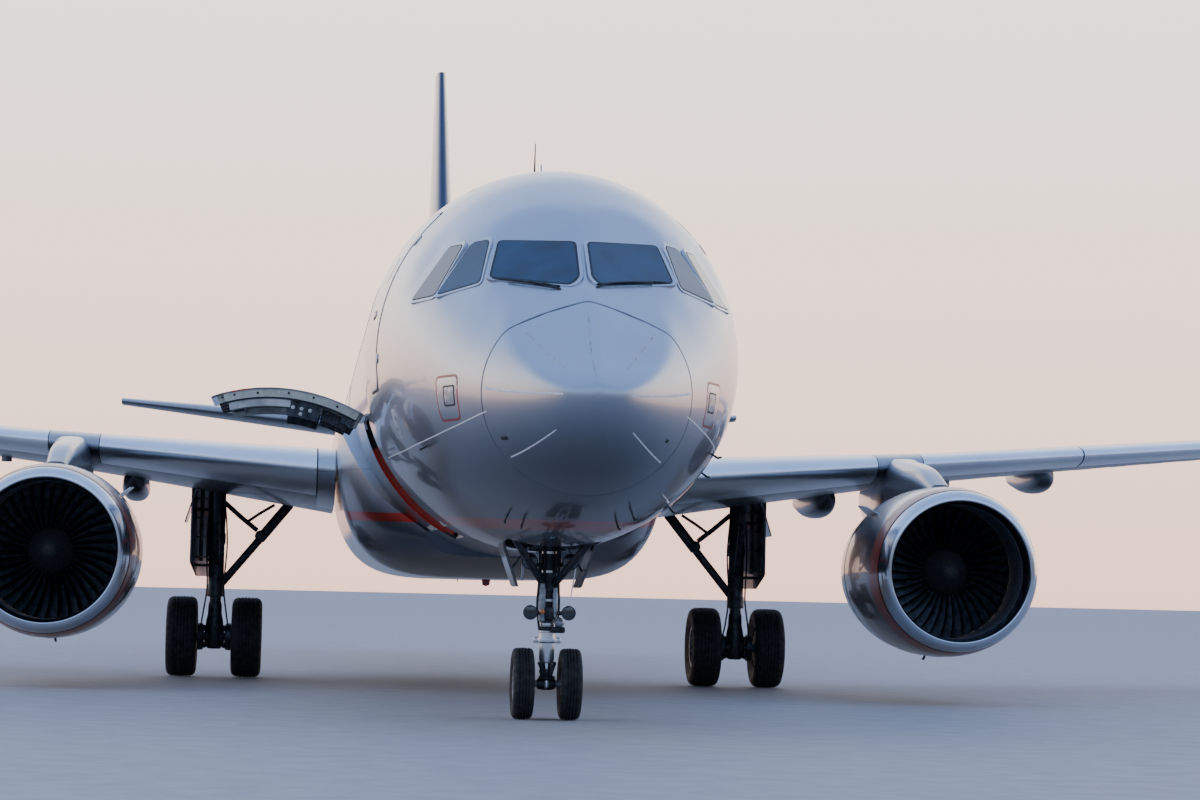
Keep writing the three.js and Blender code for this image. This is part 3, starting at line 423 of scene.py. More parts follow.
def linear(code):
    """An sRGB hex colour as linear values."""
    parts = [int(code[i:i + 2], 16) / 255 for i in (1, 3, 5)]
    return (*[c / 12.92 if c <= 0.04045 else ((c + 0.055) / 1.055) ** 2.4 for c in parts], 1.0)


def add(tree, kind, *links, out=0, stops=(), **settings):
    """Adds a node with its settings, and (input, value or output) links. Gives back one output. stops are a colour
    ramp's (place, hex colour or grey)."""
    made = tree.nodes.new("ShaderNode" + kind)
    for key, value in settings.items():
        setattr(made, key, value)
    for key, value in links:
        if isinstance(value, bpy.types.NodeSocket):
            tree.links.new(value, made.inputs[key])
        else:
            made.inputs[key].default_value = linear(value) if isinstance(value, str) else value
    for i, (where, value) in enumerate(stops):
        stop = made.color_ramp.elements[i] if i < 2 else made.color_ramp.elements.new(where)
        stop.position = where
        stop.color = linear(value) if isinstance(value, str) else (value, value, value, 1.0)
    return made.outputs[out]


def mottle(tree, size, detail=3.0, stretch=(1, 1, 1)):
    """Uneven patches about size metres across, longer where stretch is more than 1."""
    spread = add(tree, "Mapping", ("Vector", add(tree, "TexCoord", out="Object")),
        ("Scale", [1 / (size * k) for k in stretch]))
    return add(tree, "TexNoise", ("Vector", spread), ("Scale", 1.0), ("Detail", detail), ("Roughness", 0.6))


def lines(tree, value, spacing, width, start=0.0):
    """1 on thin lines that repeat every spacing metres, from start, and 0 between them."""
    share = add(tree, "Math", (0, add(tree, "Math", (0, value), (1, start), operation="SUBTRACT")), (1, spacing),
        operation="DIVIDE")
    off = add(tree, "Math", (0, add(tree, "Math", (0, share), operation="FRACT")), (1, 0.5), (2, width / spacing / 2),
        operation="COMPARE")
    return off


def finish(name, colour, roughness, metallic=0.0, **sockets):
    """A material on one Principled shader with constant sockets, and its node tree and shader for the patterns."""
    look = bpy.data.materials.new(name)
    look.use_nodes = True
    shader = look.node_tree.nodes["Principled BSDF"]
    for key, value in (("Base Color", colour), ("Roughness", roughness), ("Metallic", metallic), *sockets.items()):
        socket = shader.inputs[key.replace("_", " ")]
        socket.default_value = linear(value) if isinstance(value, str) else value
    return look, look.node_tree, shader


def vary(tree, shader, factor, dark, light, rough=None):
    """Colour between two hex values, and roughness between two numbers, by a factor."""
    tree.links.new(add(tree, "ValToRGB", (0, factor), stops=((0.3, dark), (0.7, light))), shader.inputs["Base Color"])
    if rough:
        tree.links.new(add(tree, "MapRange", (0, factor), (1, 0.3), (2, 0.7), (3, rough[0]), (4, rough[1])),
            shader.inputs["Roughness"])


def mottled(name, colour, roughness, metallic, patches, dark, light, rough, **sockets):
    """A material whose colour and roughness vary in uneven patches, given as their size, detail and stretch."""
    look, tree, shader = finish(name, colour, roughness, metallic, **sockets)
    vary(tree, shader, mottle(tree, *patches), dark, light, rough)
    return look


def sprayed_silver(name, livery=True, painted_shade_top=3.45, painted_shade_bottom=2.35, shut=False):
    """Polyurethane paint with mica, sprayed and under clear lacquer: a soft metal sheen below a sharp gloss. It
    carries a painted shade that darkens it smoothly towards the keel, for the dark ground that the lower skin
    reflects, and over that streaks of oil and dust that grow towards the keel; its skin plates are slightly wavy
    between frames, and their seams are thin dark lines. The stripe rises slowly towards the tail. On the cargo doors
    the pattern lies where they are shut, so that it runs on over the closed door."""
    look, tree, shader = finish(name, "#b6b9bd", 0.3, 0.85, Coat_Weight=0.5, Coat_Roughness=0.05)
    if shut:
        spot = add(tree, "Attribute", out="Vector", attribute_name="shut_place")
    else:
        spot = add(tree, "TexCoord", out="Object")
    x, y, z = (add(tree, "SeparateXYZ", (0, spot), out=k) for k in range(3))
    cloud = mottle(tree, 0.9, 4.0)
    # Painted shade: from the first given height down to the second the paint darkens smoothly to a dark grey, for the
    # dark ground that the lower skin reflects
    low = add(tree, "MapRange", (0, z), (1, painted_shade_top), (2, painted_shade_bottom), (3, 0.0), (4, 0.85),
        interpolation_type="SMOOTHSTEP")
    soot = add(tree, "MapRange", (0, z), (1, 3.4), (2, 1.8), (3, 0.0), (4, 0.4))
    grime = add(tree, "Math", (0, mottle(tree, 0.12, 6.0, (1, 6, 1))), (1, soot), operation="MULTIPLY")
    coats = [(low, "#33363d"), (grime, "#5b5852")]
    # A COMPARE node gives 1 where its first value is within the third of the second
    if livery:
        foot = add(tree, "Math", (0, z), (1, -STRIPE_RISE * LENGTH / 2))
        level = add(tree, "Math", (0, y), (1, -STRIPE_RISE), (2, foot), operation="MULTIPLY_ADD")
        for middle, reach, colour in ((-0.57, 2.43, "#5d6168"), (1.915, 0.055, "#ab3427")):
            stripe = add(tree, "Math", (0, level), (1, middle), (2, reach), operation="COMPARE")
            coats.append((stripe, colour))
    seam = lines(tree, y, 2.667, 0.012, y_of(4.0))
    laps = [add(tree, "Math", (0, z), (1, height), (2, 0.005), operation="COMPARE") for height in (4.93, 2.84)]
    seam = add(tree, "Math", (0, seam), (1, add(tree, "Math", (0, laps[0]), (1, laps[1]), operation="MAXIMUM")),
        operation="MAXIMUM")
    behind = add(tree, "Math", (0, y), (1, y_of(3.9)), operation="GREATER_THAN")
    seam = add(tree, "Math", (0, seam), (1, behind), operation="MULTIPLY")
    coats.append((add(tree, "Math", (0, seam), (1, 0.45), operation="MULTIPLY"), "#55585c"))
    if livery:
        edge = add(tree, "Math", (0, y), (1, y_of(FORWARD_CARGO["end"] + DOOR_SEAM)), (2, 0.001), operation="COMPARE")
        starboard = add(tree, "Math", (0, x), (1, -1.4), (2, 0.8), operation="COMPARE")
        low_down = add(tree, "Math", (0, z), (1, 2.38), (2, 0.58), operation="COMPARE")
        rim = add(tree, "Mix", (0, low_down), (6, "#17181b"), (7, "#cb3726"), data_type="RGBA", out=2)
        coats.append((add(tree, "Math", (0, edge), (1, starboard), operation="MULTIPLY"), rim))
    paint = add(tree, "Mix", (0, cloud), (6, "#a5a9b0"), (7, "#b9bdc4"), data_type="RGBA", out=2)
    for share, colour in coats:
        paint = add(tree, "Mix", (0, share), (6, paint), (7, colour), data_type="RGBA", out=2)
    tree.links.new(paint, shader.inputs["Base Color"])
    tree.links.new(add(tree, "MapRange", (0, cloud), (3, 0.285), (4, 0.335)), shader.inputs["Roughness"])
    wave = add(tree, "Bump", ("Height", mottle(tree, 0.55, 1.0)), ("Distance", 0.006), ("Strength", 0.4))
    tree.links.new(wave, shader.inputs["Normal"])
    tree.links.new(wave, shader.inputs["Coat Normal"])
    return look


silver = sprayed_silver("silver mica paint")
plain_silver = sprayed_silver("silver mica paint without stripe", livery=False)
door_silver = sprayed_silver("silver mica paint on the cargo doors", shut=True)
# The cowls and the fairing take the painted shade at heights of their own
cowl_silver = sprayed_silver("silver mica paint on cowls", livery=False, painted_shade_top=2.85, painted_shade_bottom=2.1)
fairing_silver = sprayed_silver("silver mica paint on the fairing", painted_shade_top=3.0, painted_shade_bottom=1.95)

# Mid grey polyurethane paint, brushed by rain and oil: satin, with streaks that run aft and thin dark plate seams. A
# painted shade darkens it to near black where its faces turn downward, for the shadow on the underside
wing_grey, tree, shader = finish("mid grey wing paint", "#8a9098", 0.34, 0.3, Coat_Weight=0.3, Coat_Roughness=0.12)
streak = mottle(tree, 0.16, 5.0, (1, 9, 1))
shade = add(tree, "Mix", (0, streak), (6, "#7b828b"), (7, "#969ca4"), data_type="RGBA", out=2)
# Painted shade: the colour goes towards near black where the surface faces down, for the shadow under the wings
facing = add(tree, "SeparateXYZ", (0, add(tree, "TexCoord", out="Normal")), out=2)
under = add(tree, "MapRange", (0, facing), (1, -0.2), (2, -0.75), (3, 0.0), (4, 0.92),
    interpolation_type="SMOOTHSTEP")
shade = add(tree, "Mix", (0, under), (6, shade), (7, "#1d2025"), data_type="RGBA", out=2)
out_along = add(tree, "SeparateXYZ", (0, add(tree, "TexCoord", out="Object")), out=0)
seam = add(tree, "Math", (0, lines(tree, out_along, 1.31, 0.010, 0.42)), (1, 0.35), operation="MULTIPLY")
tree.links.new(add(tree, "Mix", (0, seam), (6, shade), (7, "#4c5157"), data_type="RGBA", out=2),
    shader.inputs["Base Color"])
tree.links.new(add(tree, "MapRange", (0, streak), (3, 0.28), (4, 0.42)), shader.inputs["Roughness"])

# Aluminium spun and polished to a mirror, then blown dull by rain: bright, with soft patches of wear
polished = mottled("polished aluminium", "#cfd2d6", 0.14, 1.0, (0.5, 3.0), "#c3c7cd", "#d6d9de", (0.12, 0.19))

# Aluminium plate with a clear anti-corrosion film: the slats' leading edges, satin and light
satin = mottled("satin aluminium", "#dcdfe2", 0.3, 0.9, (0.5, 4.0, (3, 1, 1)), "#d2d5da", "#e6e8ea", (0.285, 0.34),
    Coat_Weight=0.2)

# Nickel tubes heated in use: dark, with a dull grey oxide
dark_metal = mottled("oxidised nickel tube", "#4a4c50", 0.4, 1.0, (0.03, 4.0), "#3a3b3e", "#5e5f62", (0.34, 0.5))

# Titanium and nickel alloy heated in use: brown-grey, with straw-coloured bands round it
heated = mottled("heated nickel alloy", "#6d655c", 0.38, 1.0, (0.3, 5.0, (1, 0.25, 1)), "#4b4744", "#85796a",
    (0.3, 0.5))

# Forged titanium fan blades: dark satin grey, rubbed brighter in patches
titanium = mottled("forged titanium", "#4a4c50", 0.32, 1.0, (0.08, 4.0), "#4a4d52", "#74787e", (0.285, 0.4))

# Acoustic lining: a perforated sheet, its 2 mm holes drawn as dark 12 mm dots so that they show
lining, tree, shader = finish("perforated intake lining", "#33363a", 0.55, 0.4)
holes = add(tree, "TexVoronoi", ("Vector", add(tree, "TexCoord", out="Object")), ("Scale", 80.0))
vary(tree, shader, holes, "#303336", "#6a6d71", (0.7, 0.45))

# Grey enamel on forged steel fittings: satin, with oily dirt
enamel = mottled("grey enamel on forged steel", "#9fa3a6", 0.36, 0.5, (0.07, 6.0), "#75787c", "#b6b9bd", (0.5, 0.3),
    Coat_Weight=0.3)

# The same enamel under soot and grease, and darkened further by a painted shade, for the shade in which the landing
# gear legs and the nose bay stand under the fuselage: near black, satin
soot_and_shade_enamel = mottled("sooty enamel with painted shade on forged steel", "#3c3e42", 0.42, 0.5, (0.08, 6.0), "#1f2124", "#4b4e53",
    (0.6, 0.36))

# Hard chrome, ground, on sliding tubes and rollers: bright and mirror-sharp
chrome = mottled("ground hard chrome", "#dfe2e4", 0.07, 1.0, (0.05, 2.0), "#cdd0d3", "#eceeef", (0.05, 0.12))

# Tyre rubber, moulded: near black and dull, dusty grey in patches, with a fine grain
rubber, tree, shader = finish("moulded tyre rubber", "#1b1b1c", 0.78)
vary(tree, shader, mottle(tree, 0.06, 6.0), "#121213", "#2c2b2a", (0.9, 0.66))
tree.links.new(add(tree, "Bump", ("Height", mottle(tree, 0.006, 3.0)), ("Distance", 0.0008)), shader.inputs["Normal"])

# Cast aluminium wheel halves, painted light grey, with brake dust
wheel_paint = mottled("painted cast wheel", "#8d9093", 0.42, 0.3, (0.05, 6.0), "#4d4e50", "#a2a5a8", (0.6, 0.38))

# Carbon brake discs and housings: matt black-brown
carbon = mottled("carbon brake", "#232221", 0.7, 0.0, (0.03, 4.0), "#191817", "#353230", (0.8, 0.6))

# Dark blue polyurethane under clear lacquer: deep gloss
navy = mottled("dark blue tail paint", "#1a2340", 0.3, 0.25, (0.5, 4.0), "#151d36", "#212b4b", (0.29, 0.36),
    Coat_Weight=0.7, Coat_Roughness=0.05)

# Orange-red polyurethane round the intake, darkened to a dull red-brown: satin under a thin lacquer
orange = mottled("orange-red paint", "#c2401f", 0.35, 0.05, (0.1, 5.0), "#6f2a1c", "#8a3a28", (0.34, 0.48),
    Coat_Weight=0.5, Coat_Roughness=0.08)

# Dark red polyurethane, dulled by rain and hands: the outlines of the service plates
dull_red = mottled("dull red paint", "#8a2f24", 0.42, 0.0, (0.1, 5.0), "#742820", "#94352a", (0.36, 0.5),
    Coat_Weight=0.2, Coat_Roughness=0.2)

# Bright red polyurethane round the hold's doorway, scuffed by loads to a dull gloss
doorway_red = mottled("scuffed red paint", "#bb3424", 0.45, 0.0, (0.1, 5.0), "#a32c1e", "#cb3d2b", (0.4, 0.56),
    Coat_Weight=0.2, Coat_Roughness=0.2)

# Green-grey zinc primer inside bays and doors: matt, uneven
primer = mottled("zinc primer", "#b4b5a5", 0.6, 0.0, (0.12, 5.0), "#a0a192", "#c6c6b6", (0.7, 0.5))

# Glass-fibre liner of the hold: off-white, scuffed
liner = mottled("glass-fibre hold liner", "#b9bab4", 0.55, 0.0, (0.15, 6.0), "#8f8f88", "#cbccc5", (0.7, 0.48))

# Laminated glass with a thin tinted film: deep blue, mirror-sharp
glass = mottled("laminated cockpit glass", "#12283f", 0.04, 0.0, (0.35, 2.0), "#091a2b", "#14324c", (0.03, 0.06),
    Specular_IOR_Level=0.5)

# Stretched acrylic cabin windows: dark and glossy
acrylic = mottled("stretched acrylic", "#20262b", 0.08, 0.0, (0.2, 2.0), "#181d21", "#2b3238", (0.06, 0.14),
    Coat_Weight=1.0)

# Moulded rubber seals round doors and panes: black, dull
seal = mottled("black rubber seal", "#16171a", 0.6, 0.0, (0.04, 4.0), "#0f1012", "#222326", (0.7, 0.5))

# Clear lamp glass over a silvered reflector: grey rings below a sharp gloss
lamp, tree, shader = finish("unlit lamp glass", "#4a4e52", 0.08, 0.7, Coat_Weight=1.0, Coat_Roughness=0.02)
rings = add(tree, "TexWave", ("Vector", add(tree, "TexCoord", out="Object")), ("Scale", 14.0), ("Distortion", 2.0))
vary(tree, shader, rings, "#2b2e32", "#5a5e63", (0.06, 0.14))

# Coloured lamp glass, cast and clear: deep colour below a sharp gloss
amber = mottled("amber lamp glass", "#e0761c", 0.12, 0.0, (0.02, 2.0), "#c96211", "#f08a2e", (0.1, 0.18),
    Coat_Weight=1.0)
red_lamp = mottled("red lamp glass", "#b3201c", 0.12, 0.0, (0.02, 2.0), "#8f1512", "#cc2f28", (0.1, 0.18),
    Coat_Weight=1.0)
green_lamp = mottled("green lamp glass", "#17845a", 0.12, 0.0, (0.02, 2.0), "#106b47", "#23a071", (0.1, 0.18),
    Coat_Weight=1.0)

# Grey sealant wiped flush into seams: dull, a little uneven
sealant = mottled("grey polysulphide sealant", "#4a4e56", 0.5, 0.0, (0.2, 4.0), "#3c4048", "#5f646e", (0.6, 0.42))

# White enamel of the radome's strips and the line along the nose: dull white-grey
white = mottled("white enamel", "#d5d7d8", 0.45, 0.0, (0.05, 3.0), "#c2c4c6", "#e2e3e4", (0.5, 0.38))


# Fuselage skins

def skin_rings(start, end, step, out=0.0, around=144):
    """Sections of the skin from one station to another, closer together at the nose."""
    count = max(6, int(round((end - start) / step)))
    s = np.linspace(math.sqrt(start), math.sqrt(end), count + 1)**2 if start < 4.5 else np.linspace(start, end,
        count + 1)
    turn = circle(around)
    return hull(s[:, None], turn[None, :], out)


def skin_tube(start, end, step):
    """A length of the fuselage as a wall: sections of the outer skin and, back again, of the inner one."""
    inner = skin_rings(start, end, step, -SKIN_WALL)
    inner[..., 1] = skin_rings(start, end, step)[..., 1]
    return loft(np.concatenate([skin_rings(start, end, step), inner[::-1]]), closed=True)


def side_box(side, start, end, low, high, grow=0.0, corner=0.09):
    """A cutter for a doorway: a rounded outline in (s, z), carried from inside the fuselage to beyond its skin."""
    outline = rounded_outline([(start - grow, low - grow), (end + grow, low - grow), (end + grow, high + grow),
        (start - grow, high + grow)], corner)
    return prism(outline, side * 0.35, side * 2.6)


place("radome_skin", loft(skin_rings(0.0, RADOME_END - 0.003, 0.02)), silver, replaces="radome", slot="silver_paint")
place("nose_skin", loft(skin_rings(RADOME_END + 0.003, NOSE_END, 0.035, around=256)), silver, replaces="nose_section",
    slot="silver_paint")
place("radome_seam", loft(skin_rings(RADOME_END - 0.009, RADOME_END + 0.009, 0.006, 0.0012)), sealant)
BAY = dict(start=4.35, end=5.75, half=0.49, top=2.65)
bay_cutter = prism(rounded_outline([(-BAY["half"], BAY["start"]), (BAY["half"], BAY["start"]),
    (BAY["half"], BAY["end"]), (-BAY["half"], BAY["end"])], 0.05), 1.5, 2.4, flat="z")
place("forward_skin", cut(skin_tube(NOSE_END, FORWARD_END - 0.0003, 0.1), bay_cutter,
    side_box(-1, FORWARD_CARGO["start"], FORWARD_CARGO["end"], CARGO_BOTTOM, CARGO_TOP, DOOR_SEAM)), silver,
    replaces="forward_fuselage", slot="silver_paint")
place("centre_skin", skin_tube(FORWARD_END, CENTRE_END - 0.0003, 0.4), silver, replaces="centre_fuselage",
    slot="silver_paint")
place("aft_skin", cut(skin_tube(CENTRE_END, AFT_END - 0.0003, 0.2), side_box(-1, AFT_CARGO["start"], AFT_CARGO["end"],
    CARGO_BOTTOM, CARGO_TOP, DOOR_SEAM)), silver, replaces="aft_fuselage", slot="silver_paint")
place("tail_skin", loft(skin_rings(AFT_END, LENGTH, 0.08)), silver, replaces="tail_cone", slot="silver_paint")
exhaust = turned([(0.0, 0.0), (0.13, 0.0), (0.135, 0.02), (0.15, 0.02), (0.155, -0.3), (0.0, -0.3)],
    at(0, LENGTH - 0.021, 4.99), sides=48)
place("exhaust_of_the_tail_unit", exhaust, heated)

# Plates, doors and windows that lie on the skin

def skin_plate(name, side, s, z, width, height, look, corner=0.03, low=-0.004, high=0.003, **kwargs):
    """A rounded plate that follows the skin round a station and a height."""
    outline = rounded_outline([(s - width / 2, z - height / 2), (s + width / 2, z - height / 2),
        (s + width / 2, z + height / 2), (s - width / 2, z + height / 2)], corner, 3)
    fine = max(1, int(height / 0.15))
    mesh = patch(densified(outline, 0.12), on_side(side), low, high, rings=fine)
    return place(name, mesh, look, **kwargs) if name else mesh


def densified(outline, step):
    """An outline with points added so that none are further apart than step."""
    outline = np.asarray(outline, float)
    parts = [np.linspace(a, b, max(1, int(np.ceil(np.linalg.norm(b - a) / step))), endpoint=False)
        for a, b in zip(outline, np.roll(outline, -1, 0))]
    return np.concatenate(parts)


# Passenger doors: name, how far aft and up of the door's middle, width, height, look, corner, height over the skin
DOOR_PLACES, DOOR_Z = (("front", 5.02), ("rear", 29.9)), 4.325
DOOR_PLATES = [("gap", 0, 0, 0.86, 1.9, seal, 0.14, 0.0035), ("panel", 0, 0, 0.81, 1.85, plain_silver, 0.12, 0.007),
    ("window_rim", 0, 0.35, 0.2, 0.27, enamel, 0.09, 0.009), ("window", 0, 0.35, 0.15, 0.22, acrylic, 0.075, 0.011),
    ("handle_well", 0.16, -0.12, 0.3, 0.1, seal, 0.03, 0.0075), ("handle", 0.16, -0.12, 0.26, 0.04, enamel, 0.018,
    0.016)]
for hand, side in SIDES:
    for where, s in DOOR_PLACES:
        for part, aft, up, wide, tall, look, corner, high in DOOR_PLATES:
            node = dict(replaces=f"{where}_passenger_door_{hand}", slot="silver_paint") if part == "panel" else {}
            skin_plate(f"{where}_door_{part}_{hand}", side, s + aft, DOOR_Z + up, wide, tall, look, corner, high=high,
                **node)
        for k, up in enumerate((0.62, -0.62)):
            skin_plate(f"{where}_door_hinge_{hand}_{k}", side, s - 0.475, DOOR_Z + up, 0.14, 0.1, enamel, 0.04,
                high=0.012)

WINDOW = dict(pitch=0.533, z=4.43, first=6.35, last=28.7)
for hand, side in SIDES:
    stations = np.arange(WINDOW["first"], WINDOW["last"], WINDOW["pitch"])
    rims = [skin_plate(None, side, s, WINDOW["z"], 0.275, 0.385, None, 0.12, high=0.0035) for s in stations]
    panes = [skin_plate(None, side, s, WINDOW["z"], 0.225, 0.335, None, 0.1, high=0.005) for s in stations]
    place(f"cabin_window_rims_{hand}", rims, enamel)
    place(f"cabin_window_panes_{hand}", panes, acrylic)
    for k, s in enumerate((15.41, 16.48)):
        skin_plate(f"overwing_exit_gap_{hand}_{k}", side, s, 4.3, 0.54, 1.04, seal, 0.12, high=0.0012)
        skin_plate(f"overwing_exit_{hand}_{k}", side, s, 4.3, 0.5, 1.0, plain_silver, 0.1, high=0.0028)

# Service plates and static ports near the nose
NOSE_PLATES = [("service_plate_outline", 1.82, 3.15, 0.48, 0.44, dull_red, 0.08, 0.0012),
    ("service_plate", 1.82, 3.15, 0.43, 0.39, plain_silver, 0.06, 0.0022), ("service_plate_inner_gap", 1.77, 3.17,
    0.25, 0.2, seal, 0.03, 0.0028), ("service_plate_inner", 1.77, 3.17, 0.2, 0.165, enamel, 0.02, 0.0035),
    ("static_port_plate", 3.9, 3.0, 0.3, 0.3, satin, 0.14, 0.0012)]
for hand, side in SIDES:
    for part, s, z, wide, tall, look, corner, high in NOSE_PLATES:
        skin_plate(f"{part}_{hand}", side, s, z, wide, tall, look, corner, high=high)
    for k, (s, z) in enumerate(((3.84, 3.05), (3.96, 2.95))):
        skin_plate(f"static_port_{hand}_{k}", side, s, z, 0.04, 0.04, seal, 0.018, high=0.0022)
skin_plate("icing_sensor_starboard", -1, 0.95, 2.745, 0.09, 0.034, seal, 0.015, high=0.008)
skin_plate("icing_sensor_port", 1, 0.85, 2.753, 0.04, 0.03, seal, 0.012, high=0.008)

# Cockpit panes: glass in a black seal between silver posts, each flat on its own plane


def pane_patch(corners, side, shrink, low, high, round_by):
    """A rounded slab on a pane's own plane: its corners drawn towards the middle by shrink, raised from low to
    high."""
    normal, away = pane_plane(corners, side)
    points = np.array([at(x * side, s, z) for x, s, z in corners])
    points = points - np.outer(points @ normal - away, normal)
    middle = points.mean(0)
    u = points[1] - points[0]
    u /= np.linalg.norm(u)
    v = np.cross(normal, u)
    flat = np.stack([(points - middle) @ u, (points - middle) @ v], -1)
    reach = np.linalg.norm(flat, axis=1, keepdims=True)
    outline = rounded_outline(flat * (1 - shrink / reach), round_by, 5)
    surface = lambda a, b, out: middle + np.outer(a, u) + np.outer(b, v) + out * normal
    return patch(outline, surface, low, high, rings=1, edge=0.003)


seals, posts, lites = [], [], []
for name, corners in PANES.items():
    for _, side in SIDES:
        posts.append(pane_patch(corners, side, -0.05, -0.03, 0.004, 0.09))
        seals.append(pane_patch(corners, side, -0.004, -0.02, 0.007, 0.07))
        lites.append(pane_patch(corners, side, 0.024 if name == "front" else 0.012, -0.02, 0.0085, 0.06))
place("cockpit_pane_frames", posts, plain_silver, replaces="cockpit_glazing", slot="silver_paint", smooth=6.0)
place("cockpit_pane_seals", seals, seal, smooth=6.0)
place("cockpit_panes", lites, glass, slot="cockpit_glass", smooth=6.0)


def skin_angle(x, s, z):
    """The skin's angle towards a point: its shares of the half width and of the rise or fall, as the angle between
    them."""
    top, keel, mid, half = section(np.asarray(s, float))
    return np.arctan2((z - mid) / np.where(z > mid, top - mid, mid - keel), x / half)


# Wipers: a thin blade parked under the lower edge of each front pane, and its short arm from a boss beside the nose
# line
for hand, inner, outer in (("left", (0.1, 1.46, 4.242), (0.869, 1.99, 4.314)),
        ("right", (-0.256, 1.48, 4.232), (-0.887, 1.99, 4.30))):
    x, s, z = np.linspace(inner, outer, 8).T
    turn = skin_angle(x, s, z)
    place(f"wiper_blade_{hand}", bar(*ended(hull(s, turn, 0.014), 0.011), 10), seal)
    arm = hull(s[:6] - 0.03, turn[:6], np.array([0.004, 0.03, 0.034, 0.034, 0.03, 0.022]))
    place(f"wiper_arm_{hand}", bar(arm, 0.008, 10), soot_and_shade_enamel)


def skin_strip(s, turn, width=0.012, high=0.003):
    """A narrow strip on the skin through stations and angles: a shallow section with sloped edges, carried along
    them."""
    s, turn = np.broadcast_arrays(np.asarray(s, float), np.asarray(turn, float))
    middle = hull(s, turn)
    up = unit(hull(s, turn, 0.05) - middle)
    run = unit(np.gradient(middle, axis=0))
    wide = np.cross(up, run) * width / 2
    rings = np.stack([middle - wide - up * 0.006, middle + wide - up * 0.006, middle + wide + up * high * 0.6,
        middle + wide * 0.7 + up * high, middle - wide * 0.7 + up * high, middle - wide + up * high * 0.6], 1)
    return loft(rings)


# Conductive strips that lead lightning over the radome, each at one angle round the hull: the level ones wide and
# bright
STRIPS = [("bright", 0.13, 1.08, (2, 178), 0.026), ("bright", 0.3, 1.05, (-138.5, -42.6), 0.016),
    ("dim", 0.09, 0.93, (90,), 0.016), ("dim", 0.31, 1.02, (47, 133), 0.016)]
for look, start, end, angles, width in STRIPS:
    strips = [skin_strip(np.linspace(start, end, 14), math.radians(turn), width) for turn in angles]
    place(f"radome_{look}_strips_{len(angles)}_{width * 1000:.0f}", strips, white if look == "bright" else enamel)
RUB_LINE = [(1.09, 2.994), (1.36, 2.946), (1.68, 2.895), (2.06, 2.85), (2.56, 2.803), (3.24, 2.769), (4.37, 2.742),
    (6.22, 2.747)]
s, z = curved(RUB_LINE, 5).T
place("nose_rub_line", [skin_strip(s, side_angle(s, z, side), 0.012, 0.002) for _, side in SIDES], white)

# Probes: short tubes on struts that face forward, as (x, station, height, forward reach)
PROBES = [(-0.62, 2.62, 2.066, 0.1), (-0.466, 2.54, 2.022, 0.1), (0.437, 2.43, 2.031, 0.1),
    (0.559, 2.19, 2.116, 0.16), (-1.499, 2.9, 2.688, 0.2), (1.499, 2.9, 2.688, 0.2), (1.127, 3.97, 2.233, 0.08),
    (1.462, 3.99, 2.591, 0.08)]
probes = []
for x, s, z, reach in PROBES:
    turn = skin_angle(x, s, z)
    base, knee = hull(s, turn, -0.01), hull(s - 0.03, turn, 0.075)
    probes.append(bar(curved([base, (base + knee) / 2 + (0, 0.01, 0), knee, knee - (0, reach, 0)], 4), 0.011, 12))
place("air_data_probes", probes, dark_metal)
turn = skin_angle(0.872, 2.27, 2.28)
hook = curved([hull(2.27, turn, -0.01), hull(2.25, turn, 0.05), hull(2.2, turn, 0.075), hull(2.15, turn, 0.05)], 4)
place("drain_hook", bar(hook, 0.011, 10), satin)


# Blade aerials, beacons and drain masts along the crown and keel

def fin_blade(s, length, height, under=False, lean=0.45, thick=0.028):
    """An upright blade on the centre line: aerofoil sections that shrink and lean aft with height."""
    z0 = section(np.array(s))[1 if under else 0]
    turn = circle(20)
    rings = []
    for up in (-0.03, 0.0, 0.35, 0.7, 0.93, 1.0):
        share = 1 - 0.45 * max(up, 0) if up < 1 else 0.35
        level = z0 + (-1 if under else 1) * up * height
        rings.append(np.stack([thick * share * np.sin(turn) / 2 * (1.2 + 0.8 * np.cos(turn)),
            y_of(s + lean * height * max(up, 0) - length * share * np.cos(turn) / 2), np.full(20, level)], -1))
    return loft(rings)


place("crown_aerials", [fin_blade(7.4, 0.32, 0.3), fin_blade(12.6, 0.36, 0.33), fin_blade(20.5, 0.3, 0.28),
    fin_blade(9.9, 0.5, 0.06, lean=0.0, thick=0.2)], silver)
place("keel_aerials", [fin_blade(8.8, 0.34, 0.3, True), fin_blade(23.4, 0.36, 0.3, True),
    fin_blade(6.6, 0.16, 0.2, True)], enamel)
whip = np.stack([np.zeros(7), y_of(np.linspace(8.5, 8.44, 7)), np.linspace(5.88, 6.57, 7)], -1)
place("crown_whip_aerial", bar(whip, np.linspace(0.016, 0.006, 7), 10), seal)
for name, s, z, up in (("crown", 14.2, 5.895, 1), ("keel", 15.8, 1.478, -1)):
    dome = curved([(0.0, 0.09 * up), (0.05, 0.07 * up), (0.062, 0.0), (0.07, -0.01 * up)], 4)
    place(f"beacon_{name}", turned([*dome, (0.0, -0.01 * up)], at(0, s, z), "Z", 32), red_lamp)


